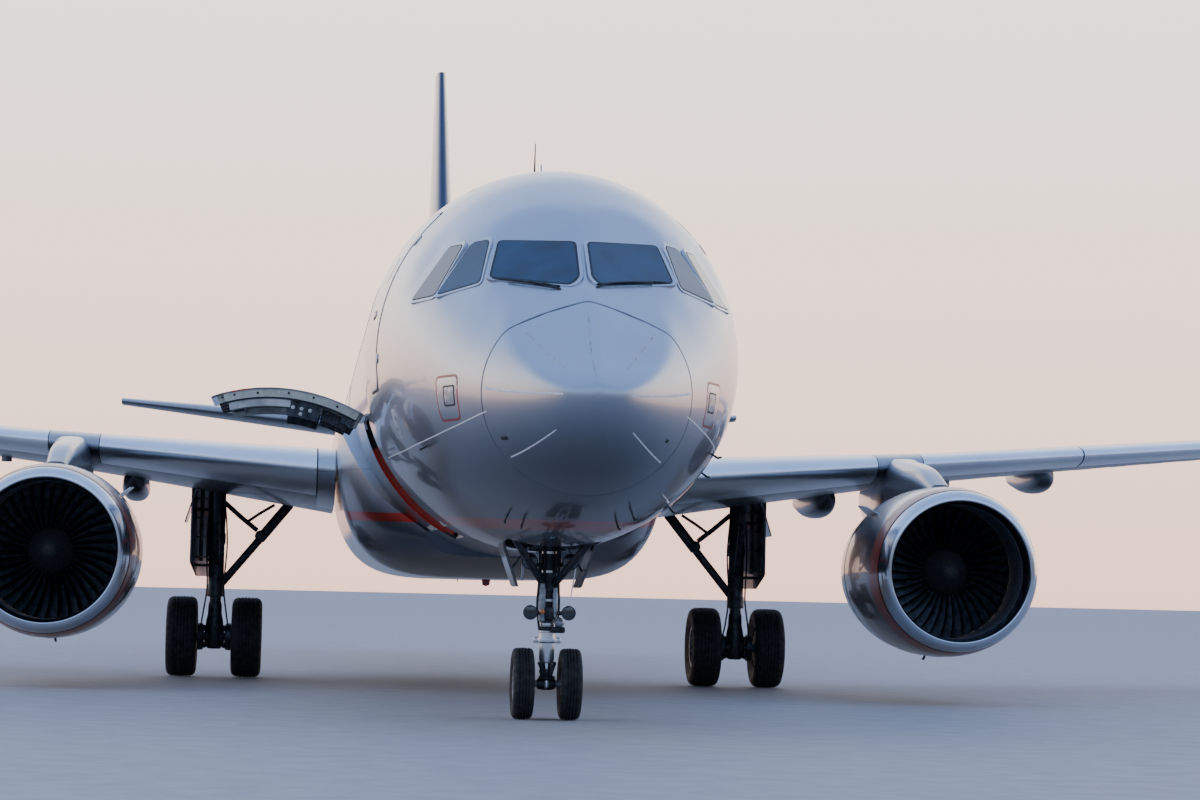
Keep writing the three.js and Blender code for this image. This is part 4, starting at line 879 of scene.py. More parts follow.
# Cargo holds: liner walls, floor panels and roller tracks behind the doors. The floor stops short of a shut door's
# frame
wall_line = np.array([(1.0, 2.08), (1.35, 2.5), (1.35, 3.23), (1.38, 3.23), (1.38, 2.48), (1.03, 2.05)])
slope = np.array([(-1.0, 2.08), (-1.03, 2.05), (-1.47, 2.49), (-1.44, 2.51)])
bulkhead = np.array([(1.36, 3.24), (1.36, 2.5), (1.0, 2.06), (-1.0, 2.06), (-1.45, 2.5), (-1.72, 3.24)])
for hold, start, end, door in (("hold", 6.9, 10.4, FORWARD_CARGO), ("aft_hold", 21.9, 24.35, AFT_CARGO)):
    beside = ((start, door["start"] - 0.05), (door["end"] + 0.05, end))
    floor_parts = [block((-0.785, start, 2.04), (1.02, end, 2.08), 0.004)]
    floor_parts += [block((-1.02, a, 2.04), (-0.788, b, 2.08), 0.004) for a, b in beside]
    place(f"{hold}_floor", floor_parts, satin)
    place(f"{hold}_ceiling", block((-1.68, start, 3.23), (1.37, end, 3.26), 0.004), liner)
    place(f"{hold}_port_wall", prism(wall_line, start, end, flat="s"), liner)
    place(f"{hold}_starboard_slope", [prism(slope, a, b, flat="s") for a, b in beside], liner)
    place(f"{hold}_bulkheads", [prism(bulkhead, s, s + 0.03, flat="s") for s in (start - 0.03, end)], liner)
    rows = (-0.735, -0.4, 0.0, 0.4, 0.78)
    tracks = [block((x - 0.045, start + 0.05, 2.075), (x + 0.045, end - 0.05, 2.1), 0.006) for x in rows]
    place(f"{hold}_roller_tracks", tracks, satin)
    rollers = [pin((x, s, 2.108), (0.035, 0, 0), 0.019) for x in rows for s in np.arange(start + 0.2, end - 0.1,
        0.26)]
    place(f"{hold}_rollers", rollers, chrome)
    battens = [bar(curved([at(1.34, s, 2.52), at(1.34, s, 2.9), at(1.33, s, 3.22)], 2), 0.02, 8)
        for s in np.arange(start + 0.2, end, 0.53)]
    place(f"{hold}_wall_battens", battens, primer)


# Cargo doors: an outer skin, edge beams and curved frames inside, hooks along the lower edge

CARGO_STATION = 8.0


def cargo_rings(start, end, low, high, inner, outer, count=18):
    """A curved bar or plate in a cargo door: its (station, depth) outline carried round the skin from one height to
    another."""
    z = np.linspace(low, high, count)
    turn = side_angle(np.full(count, CARGO_STATION), z, -1)
    outline = [(start, outer), (end, outer), (end, inner), (start, inner)]
    return loft(np.stack([hull(np.full(count, s), turn, out) for s, out in outline], 1))


def cargo_lengthwise(z, start, end, tall, inner, outer):
    """A fore-and-aft beam in a cargo door at a height: a rectangle across the skin, carried along it."""
    corners = [(z - tall / 2, outer), (z + tall / 2, outer), (z + tall / 2, inner), (z - tall / 2, inner)]
    s = np.array([start, end])
    return loft(np.stack([hull(s, side_angle(s, np.full(2, a), -1), out) for a, out in corners], 1))


def door_height(share):
    """The height on a cargo door at a share of its arc, counted from the lower edge."""
    top, keel, mid, _ = section(np.array(CARGO_STATION))
    low, high = (math.asin((z - mid) / (mid - keel)) for z in (CARGO_BOTTOM, CARGO_TOP))
    return float(mid + (mid - keel) * math.sin(low + (high - low) * share))


def door_pin(share, depth, start, end, radius, sides=12):
    """A round pin or hole that lies fore and aft in a cargo door, at a share of its arc and a depth under the
    skin."""
    turn = side_angle(CARGO_STATION, door_height(share), -1)
    return bar(*ended(hull(np.array([start, (start + end) / 2, end]), turn, -depth), radius, 0.1), sides)


def cargo_door(door):
    """The pieces of a cargo door made shut: the skin, a box frame under it, an inner frame with the latch plate
    towards the hinge, its rods and hooks."""
    start, end = door["start"], door["end"]
    top, low = CARGO_TOP, CARGO_BOTTOM
    panel = patch(densified(rounded_outline([(start, low), (end, low), (end, top), (start, top)], 0.09), 0.1),
        on_side(-1), -0.014, 0.0, rings=8, edge=0.003)
    box_frame, rubbers, inner_frame, plates, marks, rods = [], [], [], [], [], []
    for edge, way in ((start, 1), (end, -1)):
        across = lambda a, b: sorted((edge + way * a, edge + way * b))
        box_frame.append(cargo_rings(*across(0.008, 0.07), low + 0.065, top - 0.065, -0.105, -0.0125))
        rubbers.append(cargo_rings(*across(0.014, 0.06), low + 0.05, top - 0.05, -0.125, -0.1055))
        inner_frame.append(cargo_rings(*across(0.02, 0.075), door_height(0.1), door_height(0.52), -0.205, -0.1255))
        plates.append(cargo_rings(*across(0.03, 0.06), door_height(0.5), door_height(0.73), -0.3, -0.1255, 8))
        marks += [door_pin(share, depth, *across(0.003, 0.02), 0.013) for share, depth in ((0.07, 0.05), (0.15, 0.05),
            (0.3, 0.06), (0.5, 0.05), (0.66, 0.05), (0.82, 0.06))]
        inner_frame += [door_pin(share, depth, *across(0.024, 0.034), 0.022) for share, depth in ((0.54, 0.2),
            (0.6, 0.2), (0.66, 0.2), (0.6, 0.26))]
        rods += [cargo_rings(*across(0.03, 0.1), door_height(0.88), door_height(0.97), -0.2, -0.13, 4),
            cargo_rings(*across(0.1, 0.16), door_height(0.12), door_height(0.2), -0.15, -0.1, 4)]
    box_frame += [cargo_lengthwise(z, start + 0.06, end - 0.06, 0.05, -0.105, -0.0125)
        for z in (low + 0.055, top - 0.055)]
    spread = np.linspace(start, end, 7)[1:-1]
    ribs = [cargo_rings(s - 0.012, s + 0.012, low + 0.08, top - 0.08, -0.125, -0.0125) for s in spread]
    ribs += [cargo_rings(s - 0.035, s + 0.035, low + 0.08, top - 0.08, -0.128, -0.12) for s in spread]
    ribs += [cargo_lengthwise(z, start + 0.07, end - 0.07, 0.02, -0.09, -0.0125) for z in (2.25, 2.6, 2.95)]
    rods += [door_pin(share, depth, start + 0.07, end - 0.07, 0.014) for share, depth in ((0.2, 0.16), (0.78, 0.17),
        (0.86, 0.22))]
    rods += [cargo_rings(s - 0.02, s + 0.02, door_height(0.74), door_height(0.93), -0.25, -0.13, 5)
        for s in spread[::2]]
    rods += [cargo_rings(s - 0.04, s + 0.04, low + 0.03, low + 0.2, -0.13, -0.03, 5)
        for s in np.linspace(start + 0.16, end - 0.16, 4)]
    return [("panel", [panel], door_silver), ("box_frame", box_frame, primer), ("frame_seal", rubbers, seal),
        ("inner_frame", inner_frame, liner), ("ribs", ribs, primer), ("latch_plates", plates, soot_and_shade_enamel),
        ("frame_pins", marks, seal), ("rods_and_hooks", rods, dark_metal)]


for door in (FORWARD_CARGO, AFT_CARGO):
    for part, meshes, look in cargo_door(door):
        mesh = joined(meshes)
        shut = np.empty(3 * len(mesh.vertices))
        mesh.vertices.foreach_get("co", shut)
        extra = dict(replaces=door["name"], slot="silver_paint") if part == "panel" else {}
        made = place(f"{door['name']}_{part}", swung(mesh, CARGO_HINGE, door["open_by"]), look, body=door["name"],
            **extra)
        made.data.attributes.new("shut_place", "FLOAT_VECTOR", "POINT").data.foreach_set("vector", shut)
    s = np.linspace(door["start"] + 0.07, door["end"] - 0.07, 5)
    hinge = np.stack([np.full(5, CARGO_HINGE[0]), y_of(s), np.full(5, CARGO_HINGE[1])], -1)
    place(f"{door['name']}_hinge_tube", bar(hinge, 0.014, 16), chrome, body=door["name"])

# Jambs of the doorways: black seal high up and scuffed red lower down
for where, door in (("", FORWARD_CARGO), ("aft_", AFT_CARGO)):
    for s, name in ((door["start"] - 0.02, "front"), (door["end"] + 0.008, "back")):
        place(f"{where}cargo_doorway_{name}_jamb", cargo_rings(s, s + 0.012, 1.95, 2.96, -0.13, -0.0005), doorway_red)
        place(f"{where}cargo_doorway_{name}_seal", cargo_rings(s, s + 0.012, 2.96, 3.25, -0.13, -0.0005), seal)
    sill = cargo_lengthwise(1.923, door["start"] + 0.03, door["end"] - 0.03, 0.015, -0.12, -0.0005)
    place(f"{where}cargo_doorway_sill", sill, satin)


# Wings and tail surfaces

CAMBER = 0.03


def foil_heights(share, thick, camber=CAMBER):
    """Upper and lower height of an aerofoil over its chord, as shares of the chord: a camber line plus and minus the
    four-digit thickness rule."""
    rule = 0.2969 * np.sqrt(share) - 0.126 * share - 0.3516 * share**2 + 0.2843 * share**3 - 0.0996 * share**4
    body = 5 * thick * rule + 0.002 * np.minimum(1, share * 40)
    middle = camber * share * (1 - share)
    return middle + body, middle - body


def table_row(table, place_out):
    """A wing table's lead, chord, height, thickness and twist at a distance out, straight between its rows."""
    return [np.interp(place_out, table[:, 0], table[:, k]) for k in range(1, 6)]


def wing_point(table, x, share, height):
    """A point by its distance out, share of the chord and height over the chord line, turned by the wing's twist. The
    fin stands upright."""
    lead, chord, z, _, twist = table_row(table, x)
    if table is FIN:
        return np.stack([height * chord, y_of(lead + share * chord), x + 0 * share], -1)
    a = -np.radians(twist)
    u, v = share * chord, height * chord
    return np.stack([x + 0 * u, y_of(lead + u * np.cos(a) - v * np.sin(a)), z + u * np.sin(a) + v * np.cos(a)], -1)


def surface_part(table, start, end, front=0.0, back=1.0, steps=26):
    """A body between two places out and two shares of the chord: aerofoil sections from the back over the top to the
    front and below again."""
    x = np.unique(np.concatenate([np.linspace(start, end, max(2, int((end - start) / 0.4) + 2)),
        [row for row in table[:, 0] if start < row < end]]))[:, None]
    thick = table_row(table, x)[3]
    share = front + (back - front) * np.linspace(1, 0, steps)**2
    top, low = foil_heights(share, thick, 0.0 if table is FIN else CAMBER)
    if front == 0.0:
        share, top, low = share[:-1], top[:, :-1], low[:, :-1]
        nose = np.zeros((len(x), 1))
        heights = np.concatenate([top, nose, low[:, ::-1]], 1)
        share = np.concatenate([share, [0.0], share[::-1]])
    else:
        heights, share = np.concatenate([top, low[:, ::-1]], 1), np.concatenate([share, share[::-1]])
    return loft(wing_point(table, x + 0 * heights, share + 0 * heights, heights))


def hinge_space(table, start, end, share, grow):
    """The room of a hinged surface as one body, its ends square to the hinge line: before the line half a circle as
    thick as the section, behind it a slot wide open to both sides, all larger by grow."""
    camber = 0.0 if table is FIN else CAMBER
    lift = camber * share * (1 - share)
    p, q = (wing_point(table, np.array(x), np.array(share), np.array(lift)) for x in (start, end))
    run = (q - p) / np.linalg.norm(q - p)
    aft = np.array([0.0, 1.0, 0.0]) - run * run[1]
    aft /= np.linalg.norm(aft)
    up = np.cross(run, aft)
    arc = np.radians(np.linspace(-86, 86, 33))
    rings = []
    for point, x, out in ((p, start, -grow), (q, end, grow)):
        thick = foil_heights(share, table_row(table, x)[3], 0.0)[0] * table_row(table, x)[1] + grow
        outline = [(4.0, -0.6), (-grow, -0.6), *zip(-thick * np.cos(arc), thick * np.sin(arc)), (-grow, 0.6),
            (4.0, 0.6)]
        rings.append([point + run * out + aft * b + up * u for b, u in outline])
    return loft(rings)


def hinged(fixed, whole, table, start, end, share):
    """Cuts the room of a hinged surface out of the fixed part, and the surface itself from a whole one."""
    return (cut(fixed, hinge_space(table, start, end, share, HINGE_CLEARANCE)),
        cut(whole, hinge_space(table, start, end, share, 0.0), way="INTERSECT"))


def wing_plate(table, corners, upper, low, high, round_by=0.04):
    """A thin slab on a wing's upper or lower skin, its corners as (distance out, share of chord)."""
    scaled = np.asarray(corners, float) * (1, 3)

    def skin(a, b, out):
        share, thick = b / 3, table_row(table, a)[3]
        height = foil_heights(share, thick, 0.0 if table is FIN else CAMBER)[0 if upper else 1]
        chord = table_row(table, a)[1]
        return wing_point(table, a, share, height + (out if upper else -out) / chord)
    return patch(densified(rounded_outline(scaled, round_by, 3), 0.25), skin, low, high, rings=2, edge=0.002)


SLAT_BACK, FLAP_FRONT = 0.13, 0.72
WING_BOXES = [(2.16, 2.22, 0, 1), (2.22, 2.4, 0, FLAP_FRONT), (2.4, 5.35, SLAT_BACK, FLAP_FRONT),
    (5.35, 6.05, 0, FLAP_FRONT), (6.05, 6.39, SLAT_BACK, FLAP_FRONT), (6.39, 12.48, SLAT_BACK, FLAP_FRONT)]
AILERON, ELEVATOR, RUDDER = (12.75, 16.5, 0.75), (1.25, 6.0, 0.7), (6.05, 11.45, 0.7)
SLATS = {"inner": [(2.4, 5.35)], "outer": [(6.05, 8.7), (8.7, 11.3), (11.3, 13.9), (13.9, 16.5)]}
FLAPS = {"inner": (2.22, 6.38), "outer": (6.4, 12.48)}
TRACKS = [(4.97, 0.45, 0.6, 0.19, 0.42), (8.48, 0.42, 0.7, 0.19, 0.4), (12.1, 0.44, 0.55, 0.16, 0.33)]


def track_fairing(x, share, past, half, depth):
    """A canoe under the wing: rounded sections along a line below the chord, fullest a third of the way back, pointed
    aft."""
    chord = table_row(WING, x)[1]
    length = (1 - share) * chord + past
    t = np.linspace(0, 1, 26)
    size = np.clip(np.sin(np.pi * t**0.55), 0.02, 1)**0.62
    c = share + t * length / chord
    low = foil_heights(np.minimum(c, 0.99), table_row(WING, x)[3])[1]
    keel = wing_point(WING, np.full(26, x), c, low)
    keel[:, 2] -= depth * 0.34 * np.sin(np.pi * np.clip(t, 0, 1))**0.4 * 0.9
    turn = circle(28)
    wide, tall = squared(np.cos(turn), 0.8), squared(np.sin(turn), 0.9)
    return loft(keel[:, None] + size[:, None, None] * np.stack([half * wide, 0 * turn, depth * 0.5 * tall], -1))


def tip_fence():
    """The fence at the wing tip: thin sections in height, pointed at both ends, their chord and sweep read from three
    places."""
    lead, chord, z, _, _ = table_row(WING, 17.05)
    up = np.linspace(-1, 1, 25)
    height = np.where(up > 0, 0.75 * up, 0.62 * up)
    front = np.where(up > 0, 0.25 + 1.25 * up, 0.25 - 1.23 * up)
    back = np.where(up > 0, 1.56 + 0.19 * up, 1.56 - 0.14 * up)
    turn = circle(18)
    half = 0.022 * (1 - 0.75 * np.abs(up))[:, None]
    s = lead + (front + back)[:, None] / 2 + (back - front)[:, None] / 2 * np.cos(turn)
    return loft(np.stack([17.05 - 0.0235 + half * np.sin(turn), y_of(s), (z + height)[:, None] + 0 * turn], -1))


for hand, side in SIDES:
    boxes = [surface_part(WING, *spans) for spans in WING_BOXES]
    outer_box, aileron = hinged(surface_part(WING, 12.48, 16.5, SLAT_BACK), surface_part(WING, 12.3, 16.9), WING,
        *AILERON)
    tip_box = cut(surface_part(WING, 16.5, 17.049), hinge_space(WING, *AILERON, HINGE_CLEARANCE))
    boxes += [outer_box, tip_box]
    place(f"aileron_skin_{hand}", aileron, wing_grey, body=f"aileron_{hand}", replaces=f"aileron_{hand}",
        slot="wing_paint", side=side)
    boxes += [track_fairing(*row) for row in TRACKS] + [tip_fence()]
    boxes.append(turned([(0, 0), (0.068, 0), (0.075, 0.006), (0.075, 0.17), (0, 0.17)], at(6.8, 17.3, 3.01), "Z", 32))
    place(f"wing_skin_{hand}", boxes, wing_grey, replaces=f"wing_{hand}", slot="wing_paint", side=side)
    for name, spans in SLATS.items():
        parts = [surface_part(WING, a + 0.012, b - 0.012, 0, SLAT_BACK - 0.003) for a, b in spans]
        place(f"{name}_slat_skin_{hand}", parts, satin, replaces=f"{name}_slat_{hand}", slot="polished_metal",
            side=side)
    for name, (a, b) in FLAPS.items():
        part = surface_part(WING, a, b, FLAP_FRONT + 0.004, 1.0)
        place(f"{name}_flap_skin_{hand}", part, wing_grey, replaces=f"{name}_flap_{hand}", slot="wing_paint",
            side=side)
    root = surface_part(WING, 2.18, 2.388, 0, 0.34)
    place(f"wing_root_fillet_{hand}", swell(root, 0.007), fairing_silver, side=side)
    line = surface_part(WING, 2.388, 2.4, 0, 0.16)
    place(f"wing_root_seal_{hand}", swell(line, 0.005), seal, side=side)
    spoilers = [wing_plate(WING, [(a, 0.6), (b, 0.6), (b, 0.715), (a, 0.715)], True, -0.004, 0.004, 0.02)
        for a, b in ((3.2, 5.2), (6.5, 7.9), (7.95, 9.35), (9.4, 10.8), (10.85, 12.25))]
    place(f"spoilers_{hand}", spoilers, wing_grey, side=side)
    doors = [wing_plate(WING, [(x - 0.13, 0.37), (x + 0.13, 0.37), (x + 0.13, 0.43), (x - 0.13, 0.43)], False, -0.004,
        0.003, 0.1) for x in np.arange(7.2, 16, 0.62)]
    place(f"tank_access_plates_{hand}", doors, satin, side=side)
    wicks = [bar([wing_point(WING, x, np.array(0.995), np.array(0.0)), wing_point(WING, x, np.array(0.995),
        np.array(0.0)) + (0.02, 0.16, 0.0)], 0.005, 6) for x in (14.9, 15.6, 16.2)]
    place(f"aileron_static_wicks_{hand}", wicks, seal, body=f"aileron_{hand}", side=side)
    light = patch(rounded_outline([(-0.2, -0.05), (0.2, -0.05), (0.2, 0.05), (-0.2, 0.05)], 0.04),
        lambda a, b, out: wing_point(WING, 16.78 + a, 0.012 + 0 * a, b * 0.5 / 1.55 + 0 * a) - np.array([0, 1,
        0]) * (out + 0.02), -0.01, 0.008)
    place(f"wing_tip_light_{hand}", light, red_lamp if side > 0 else green_lamp, side=side)
    tail, elevator = hinged(surface_part(STABILISER, 0.7, 6.225), surface_part(STABILISER, 0.75, 6.2), STABILISER,
        *ELEVATOR)
    place(f"stabiliser_skin_{hand}", tail, wing_grey, replaces=f"stabiliser_{hand}", slot="wing_paint", side=side)
    place(f"elevator_skin_{hand}", elevator, wing_grey, body=f"elevator_{hand}", replaces=f"elevator_{hand}",
        slot="wing_paint", side=side)

fin, rudder = hinged(surface_part(FIN, 5.4, 11.76), surface_part(FIN, 5.5, 11.7), FIN, *RUDDER)
place("fin_skin", fin, navy, replaces="fin", slot="fin_paint")
place("rudder_skin", rudder, navy, body="rudder", replaces="rudder", slot="fin_paint")
t = np.linspace(0, 1, 20)
ridge_s, ridge_z = 28.3 + 3.3 * t, 5.87 + 1.5 * t**1.8
turn = np.linspace(0, math.pi, 13)
dorsal = np.stack([0 * t[:, None] + 0.08 * np.cos(turn), 0 * turn + y_of(ridge_s)[:, None],
    5.75 + (ridge_z - 5.75)[:, None] * np.sin(turn)], -1)
place("dorsal_fillet", loft(dorsal), silver)

# Belly fairing: rounded sections from the keel's width to the wing roots, sides upright at the wings
FAIRING = np.array([(10.9, 1.05, 1.745, 2.05), (11.6, 1.62, 1.63, 2.5), (12.3, 1.98, 1.54, 3.05),
    (13.0, 2.16, 1.48, 3.45), (19.5, 2.16, 1.48, 3.45), (20.3, 2.0, 1.54, 3.1), (21.1, 1.62, 1.64, 2.6),
    (21.8, 1.05, 1.745, 2.05)])
s = np.linspace(10.9, 21.8, 70)
half, low, high = smooth_columns(FAIRING, s)
turn = np.linspace(math.pi, 2 * math.pi, 41)
wide = squared(np.cos(turn), 0.42)
tall = np.abs(np.sin(turn))**0.75
rings = np.stack([half * wide, 0 * turn + y_of(s)[:, None], high - (high - low) * tall], -1)
place("belly_fairing_skin", loft(rings), fairing_silver, replaces="belly_fairing", slot="wing_paint")


# Engines

INTAKE = [(0.872, 1.15), (0.872, 0.8), (0.852, 0.48), (0.862, 0.15), (0.88, 0.04), (0.905, 0.0), (0.94, 0.008),
    (0.98, 0.06), (1.01, 0.13), (1.06, 0.4), (1.095, 0.8), (1.105, 1.15)]
intake_line = curved(INTAKE, 8)
COWL = [(1.105, 1.153), (1.108, 1.7), (1.085, 2.3), (1.01, 3.0), (0.905, 3.5)]
cowl_line = curved(COWL, 10)
# Pylon sections: station, lower edge, top, half width
PYLON = np.array([(12.45, 2.6, 2.85, 0.15), (13.4, 2.3, 3.11, 0.21), (14.5, 2.01, 3.24, 0.28),
    (15.0, 2.01, 3.29, 0.315), (15.8, 2.01, 3.13, 0.29), (16.6, 2.35, 3.04, 0.22), (17.9, 2.74, 2.96, 0.09)])
PLUG = [(0.4, 4.5), (0.29, 4.5), (0.2, 4.9), (0.06, 5.24), (0.0, 5.28)]


def stretch(line, start, end, inside=None):
    """The part of a turned line between two distances: of its inner or outer run, or of the whole line."""
    nose = int(np.argmin(line[:, 1]))
    run = {None: line, True: line[:nose + 1][::-1], False: line[nose:]}[inside]
    keep = run[(run[:, 1] >= start - 1e-9) & (run[:, 1] <= end + 1e-9)]
    return keep[::-1] if inside else keep


def fan_blades(count=36, inner=0.24, outer=0.862):
    """Wide fan blades: a grid over radius and chord, turned more at the tip, its leading edge swept and bowed, thin
    at both edges, repeated round the hub."""
    t = np.linspace(0, 1, 9)[:, None]
    u = np.linspace(-1, 1, 7)[None, :]
    radius = inner + (outer - inner) * t
    chord = 0.115 + 0.04 * np.sin(np.pi * t * 0.9)
    pitch = np.radians(28 + 34 * t)
    thick = 0.009 * (1 - 0.6 * t) * np.sqrt(np.clip(1 - u**2, 0.03, 1))
    bow = 0.035 * t**2 + 0.016 * (1 - u**2)
    faces = []
    for sign in (1, -1):
        across = u * chord * np.sin(pitch) + sign * thick * np.cos(pitch) + bow * np.cos(pitch)
        aft = u * chord * np.cos(pitch) - sign * thick * np.sin(pitch) - bow * np.sin(pitch) + 0.05 * t**2 + 0 * across
        angle = across / radius
        faces.append(np.stack([radius * np.sin(angle), aft, radius * np.cos(angle)], -1))
    ring = np.concatenate([faces[0], faces[1][:, ::-1]], 1)
    spin = 2 * math.pi * np.arange(count) / count
    c, sine, z, o = np.cos(spin), np.sin(spin), np.zeros(count), np.ones(count)
    turn = np.stack([np.stack([c, z, sine], -1), np.stack([z, o, z], -1), np.stack([-sine, z, c], -1)], 1)
    return joined([loft(ring @ m.T) for m in turn])


for hand, side in SIDES:
    centre = at(side * ENGINE_X, LIP, ENGINE_Z)
    engine = lambda profile, sides=128: turned(profile, centre, "Y", sides)
    lip = np.concatenate([stretch(intake_line, 0, 0.3, True), stretch(intake_line, 0.0, 0.22, False)[1:]])
    place(f"intake_lip_{hand}", engine(shell(lip, -0.006)), polished, replaces=f"inlet_cowl_{hand}",
        slot="polished_metal")
    place(f"intake_lip_ring_{hand}", engine(shell(stretch(intake_line, 0.22, 0.56, False) + (0.001, 0), -0.006)),
        orange)
    place(f"intake_cowl_skin_{hand}", engine(shell(stretch(intake_line, 0.54, 1.15, False), -0.02)), cowl_silver,
        slot="silver_paint")
    place(f"intake_lining_{hand}", engine(shell(stretch(intake_line, 0.3, 1.15, True), -0.02)), lining)
    fan_cowl = stretch(cowl_line, 1.15, 2.36)
    place(f"fan_cowl_skin_{hand}", engine(shell(fan_cowl, -0.03)), cowl_silver, replaces=f"fan_cowl_{hand}",
        slot="silver_paint")
    place(f"reverser_cowl_skin_{hand}", engine(shell(stretch(cowl_line, 2.37, 3.5), -0.03)), cowl_silver,
        slot="silver_paint")
    duct = np.array([(0.885, 3.49), (0.872, 2.6), (0.872, 1.16)])
    place(f"bypass_duct_{hand}", engine(np.concatenate([duct, (duct + (0.012, 0))[::-1]])), lining)
    core = curved([(0.3, 1.42), (0.43, 1.6), (0.6, 2.1), (0.66, 2.9), (0.6, 3.5), (0.42, 4.78)], 8)
    body = np.concatenate([[(0.0, 1.42)], core, [(0.4, 4.775), (0.4, 4.5), (0.29, 4.5)], curved(PLUG[2:], 6)])
    place(f"engine_core_casing_{hand}", engine(body, 72), heated, replaces=f"engine_core_{hand}", slot="engine_metal")
    vanes = []
    for a in 2 * math.pi * np.arange(26) / 26:
        out, across = np.array([math.cos(a), 0, math.sin(a)]), np.array([-math.sin(a), 0, math.cos(a)])
        ring = [centre + out * r + across * w + (0, d, 0) for r in (0.45, 0.875)
            for w, d in ((0.008, 1.75), (0.006, 1.95), (-0.006, 1.95), (-0.008, 1.75))]
        vanes.append(loft(np.array(ring).reshape(2, 4, 3)))
    place(f"outlet_vanes_{hand}", vanes, titanium)
    blades = moved(fan_blades(), np.eye(3), centre + (0, 1.1, 0))
    place(f"fan_blades_{hand}", blades, titanium, body=f"fan_{hand}", replaces=f"fan_{hand}", slot="engine_metal")
    cone = curved([(0.0, 0.6), (0.06, 0.63), (0.17, 0.78), (0.262, 0.93), (0.288, 1.0), (0.29, 1.34)], 6)
    place(f"spinner_{hand}", engine(np.concatenate([cone, [(0.0, 1.34)]]), 64), carbon, body=f"fan_{hand}")
    t = np.linspace(0.25, 1, 24)
    mark_r, mark_d = 0.235 * t, np.interp(0.235 * t, cone[:, 0], cone[:, 1])
    mark = [centre + np.stack([(mark_r + w) * np.sin(2.6 * t), mark_d + w * 0.8 - d, (mark_r + w) * np.cos(2.6 * t)],
        -1) for w, d in ((-0.008, -0.01), (0.008, -0.01), (0.008, 0.004), (-0.008, 0.004))]
    place(f"spinner_mark_{hand}", loft(np.stack(mark, 1)), titanium, body=f"fan_{hand}")
    blade = rounded_outline([(1.25, 1.06), (1.65, 1.255), (2.15, 1.29), (2.15, 1.06)], 0.06)
    angle = math.radians(-side * 48)
    rings = [np.stack([x * math.cos(angle) + blade[:, 1] * math.sin(angle), blade[:, 0],
        -x * math.sin(angle) + blade[:, 1] * math.cos(angle)], -1) + centre for x in (-0.006, 0.006)]
    place(f"cowl_strake_{hand}", loft(rings), cowl_silver)
    latch_s = (1.4, 1.75, 2.1)
    latches = [block((side * ENGINE_X - 0.04, LIP + d - 0.06, ENGINE_Z - 1.113),
        (side * ENGINE_X + 0.04, LIP + d + 0.06, ENGINE_Z - 1.09), 0.008) for d in latch_s]
    place(f"cowl_latches_{hand}", latches, satin)
    drain = bar(curved([centre + (0, 2.2, -1.08), centre + (0, 2.24, -1.13), centre + (0, 2.33, -1.16)], 4), 0.016,
        10)
    place(f"drain_mast_{hand}", drain, seal)
    # Pylon: upright sections with a flat rounded top, from the cowl over the leading edge and aft under the wing
    s = np.linspace(12.45, 17.9, 56)
    low, high, half = smooth_columns(PYLON, s)
    turn = np.linspace(0, math.pi, 33)
    wide, tall = squared(np.cos(turn), 0.5), np.sin(turn)**0.55
    rings = np.stack([side * ENGINE_X + half * wide, 0 * turn + y_of(s)[:, None], low + (high - low) * tall], -1)
    place(f"pylon_skin_{hand}", loft(rings), plain_silver, replaces=f"pylon_{hand}", slot="wing_paint")


# Landing gear

def tyre_mesh(centre, radius, width, rim, grooves):
    """A tyre about the x axis: a rounded tread with round-bottomed grooves, full shoulders and a bead against the
    rim."""
    w = width / 2
    tread = np.linspace(-0.62 * w, 0.62 * w, 121)
    crown = radius - 0.012 * (tread / w)**2
    for g in grooves:
        crown -= 0.011 * np.exp(-((tread - g * w) / 0.0065)**6)
    side = curved([(radius - 0.005, 0.62 * w), (radius * 0.965, 0.8 * w), (radius * 0.9, 0.95 * w), (radius * 0.8, w),
        (radius * 0.68, 0.93 * w), (rim + 0.012, 0.76 * w), (rim, 0.72 * w)], 6)[1:]
    inner = [(rim + 0.01, 0.5 * w), (rim + 0.01, -0.5 * w)]
    profile = np.concatenate([np.stack([crown, tread], -1), side, inner, (side * (1, -1))[::-1]])
    return turned(profile, centre, "X", 96)


def wheel_half(centre, rim, width, out, holes=9):
    """A cast wheel about the x axis: flange, dished web with round lightening holes, hub cap and a ring of bolts on
    its outer side."""
    w = width / 2
    r = rim - 0.001
    line = [(r, 0.74 * w), (r * 1.045, 0.75 * w), (r * 1.045, 0.8 * w), (r * 0.94, 0.78 * w), (r * 0.9, 0.6 * w),
        (r * 0.84, 0.42 * w), (r * 0.6, 0.34 * w), (r * 0.45, 0.4 * w), (r * 0.36, 0.5 * w), (r * 0.34, 0.62 * w),
        (r * 0.28, 0.66 * w), (0.0, 0.66 * w)]
    back = [(0.0, -0.3 * w), (r * 0.85, -0.3 * w), (r * 0.9, -0.6 * w), (r, -0.68 * w)]
    wheel = turned(np.array(back + line) * (1, out), centre, "X", 72)
    bolts, voids = [], []
    for k in range(holes):
        a = 2 * math.pi * k / holes
        for made, turn, away, depths, size, sides in ((voids, a, 0.72, (0.3, 0.36, 0.385), 0.085, 16),
                (bolts, a + math.pi / holes, 0.55, (0.3, 0.4, 0.44), 0.035, 6)):
            y, z = math.cos(turn), math.sin(turn)
            path = [centre + (out * w * d, y * r * away, z * r * away) for d in depths]
            made.append(bar(path, r * size, sides))
    return wheel, bolts, voids


def hose(points, radius=0.012, steps=8):
    """A flexible line through a few points, on one smooth curve."""
    return bar(curved(in_frame(points), steps), radius, 10)


def axle(x, half, s, z, radius):
    """An axle from half to starboard of x to half to port of it."""
    return bar(np.stack([np.linspace(x - half, x + half, 5), np.full(5, y_of(s)), np.full(5, z)], -1), radius, 24)


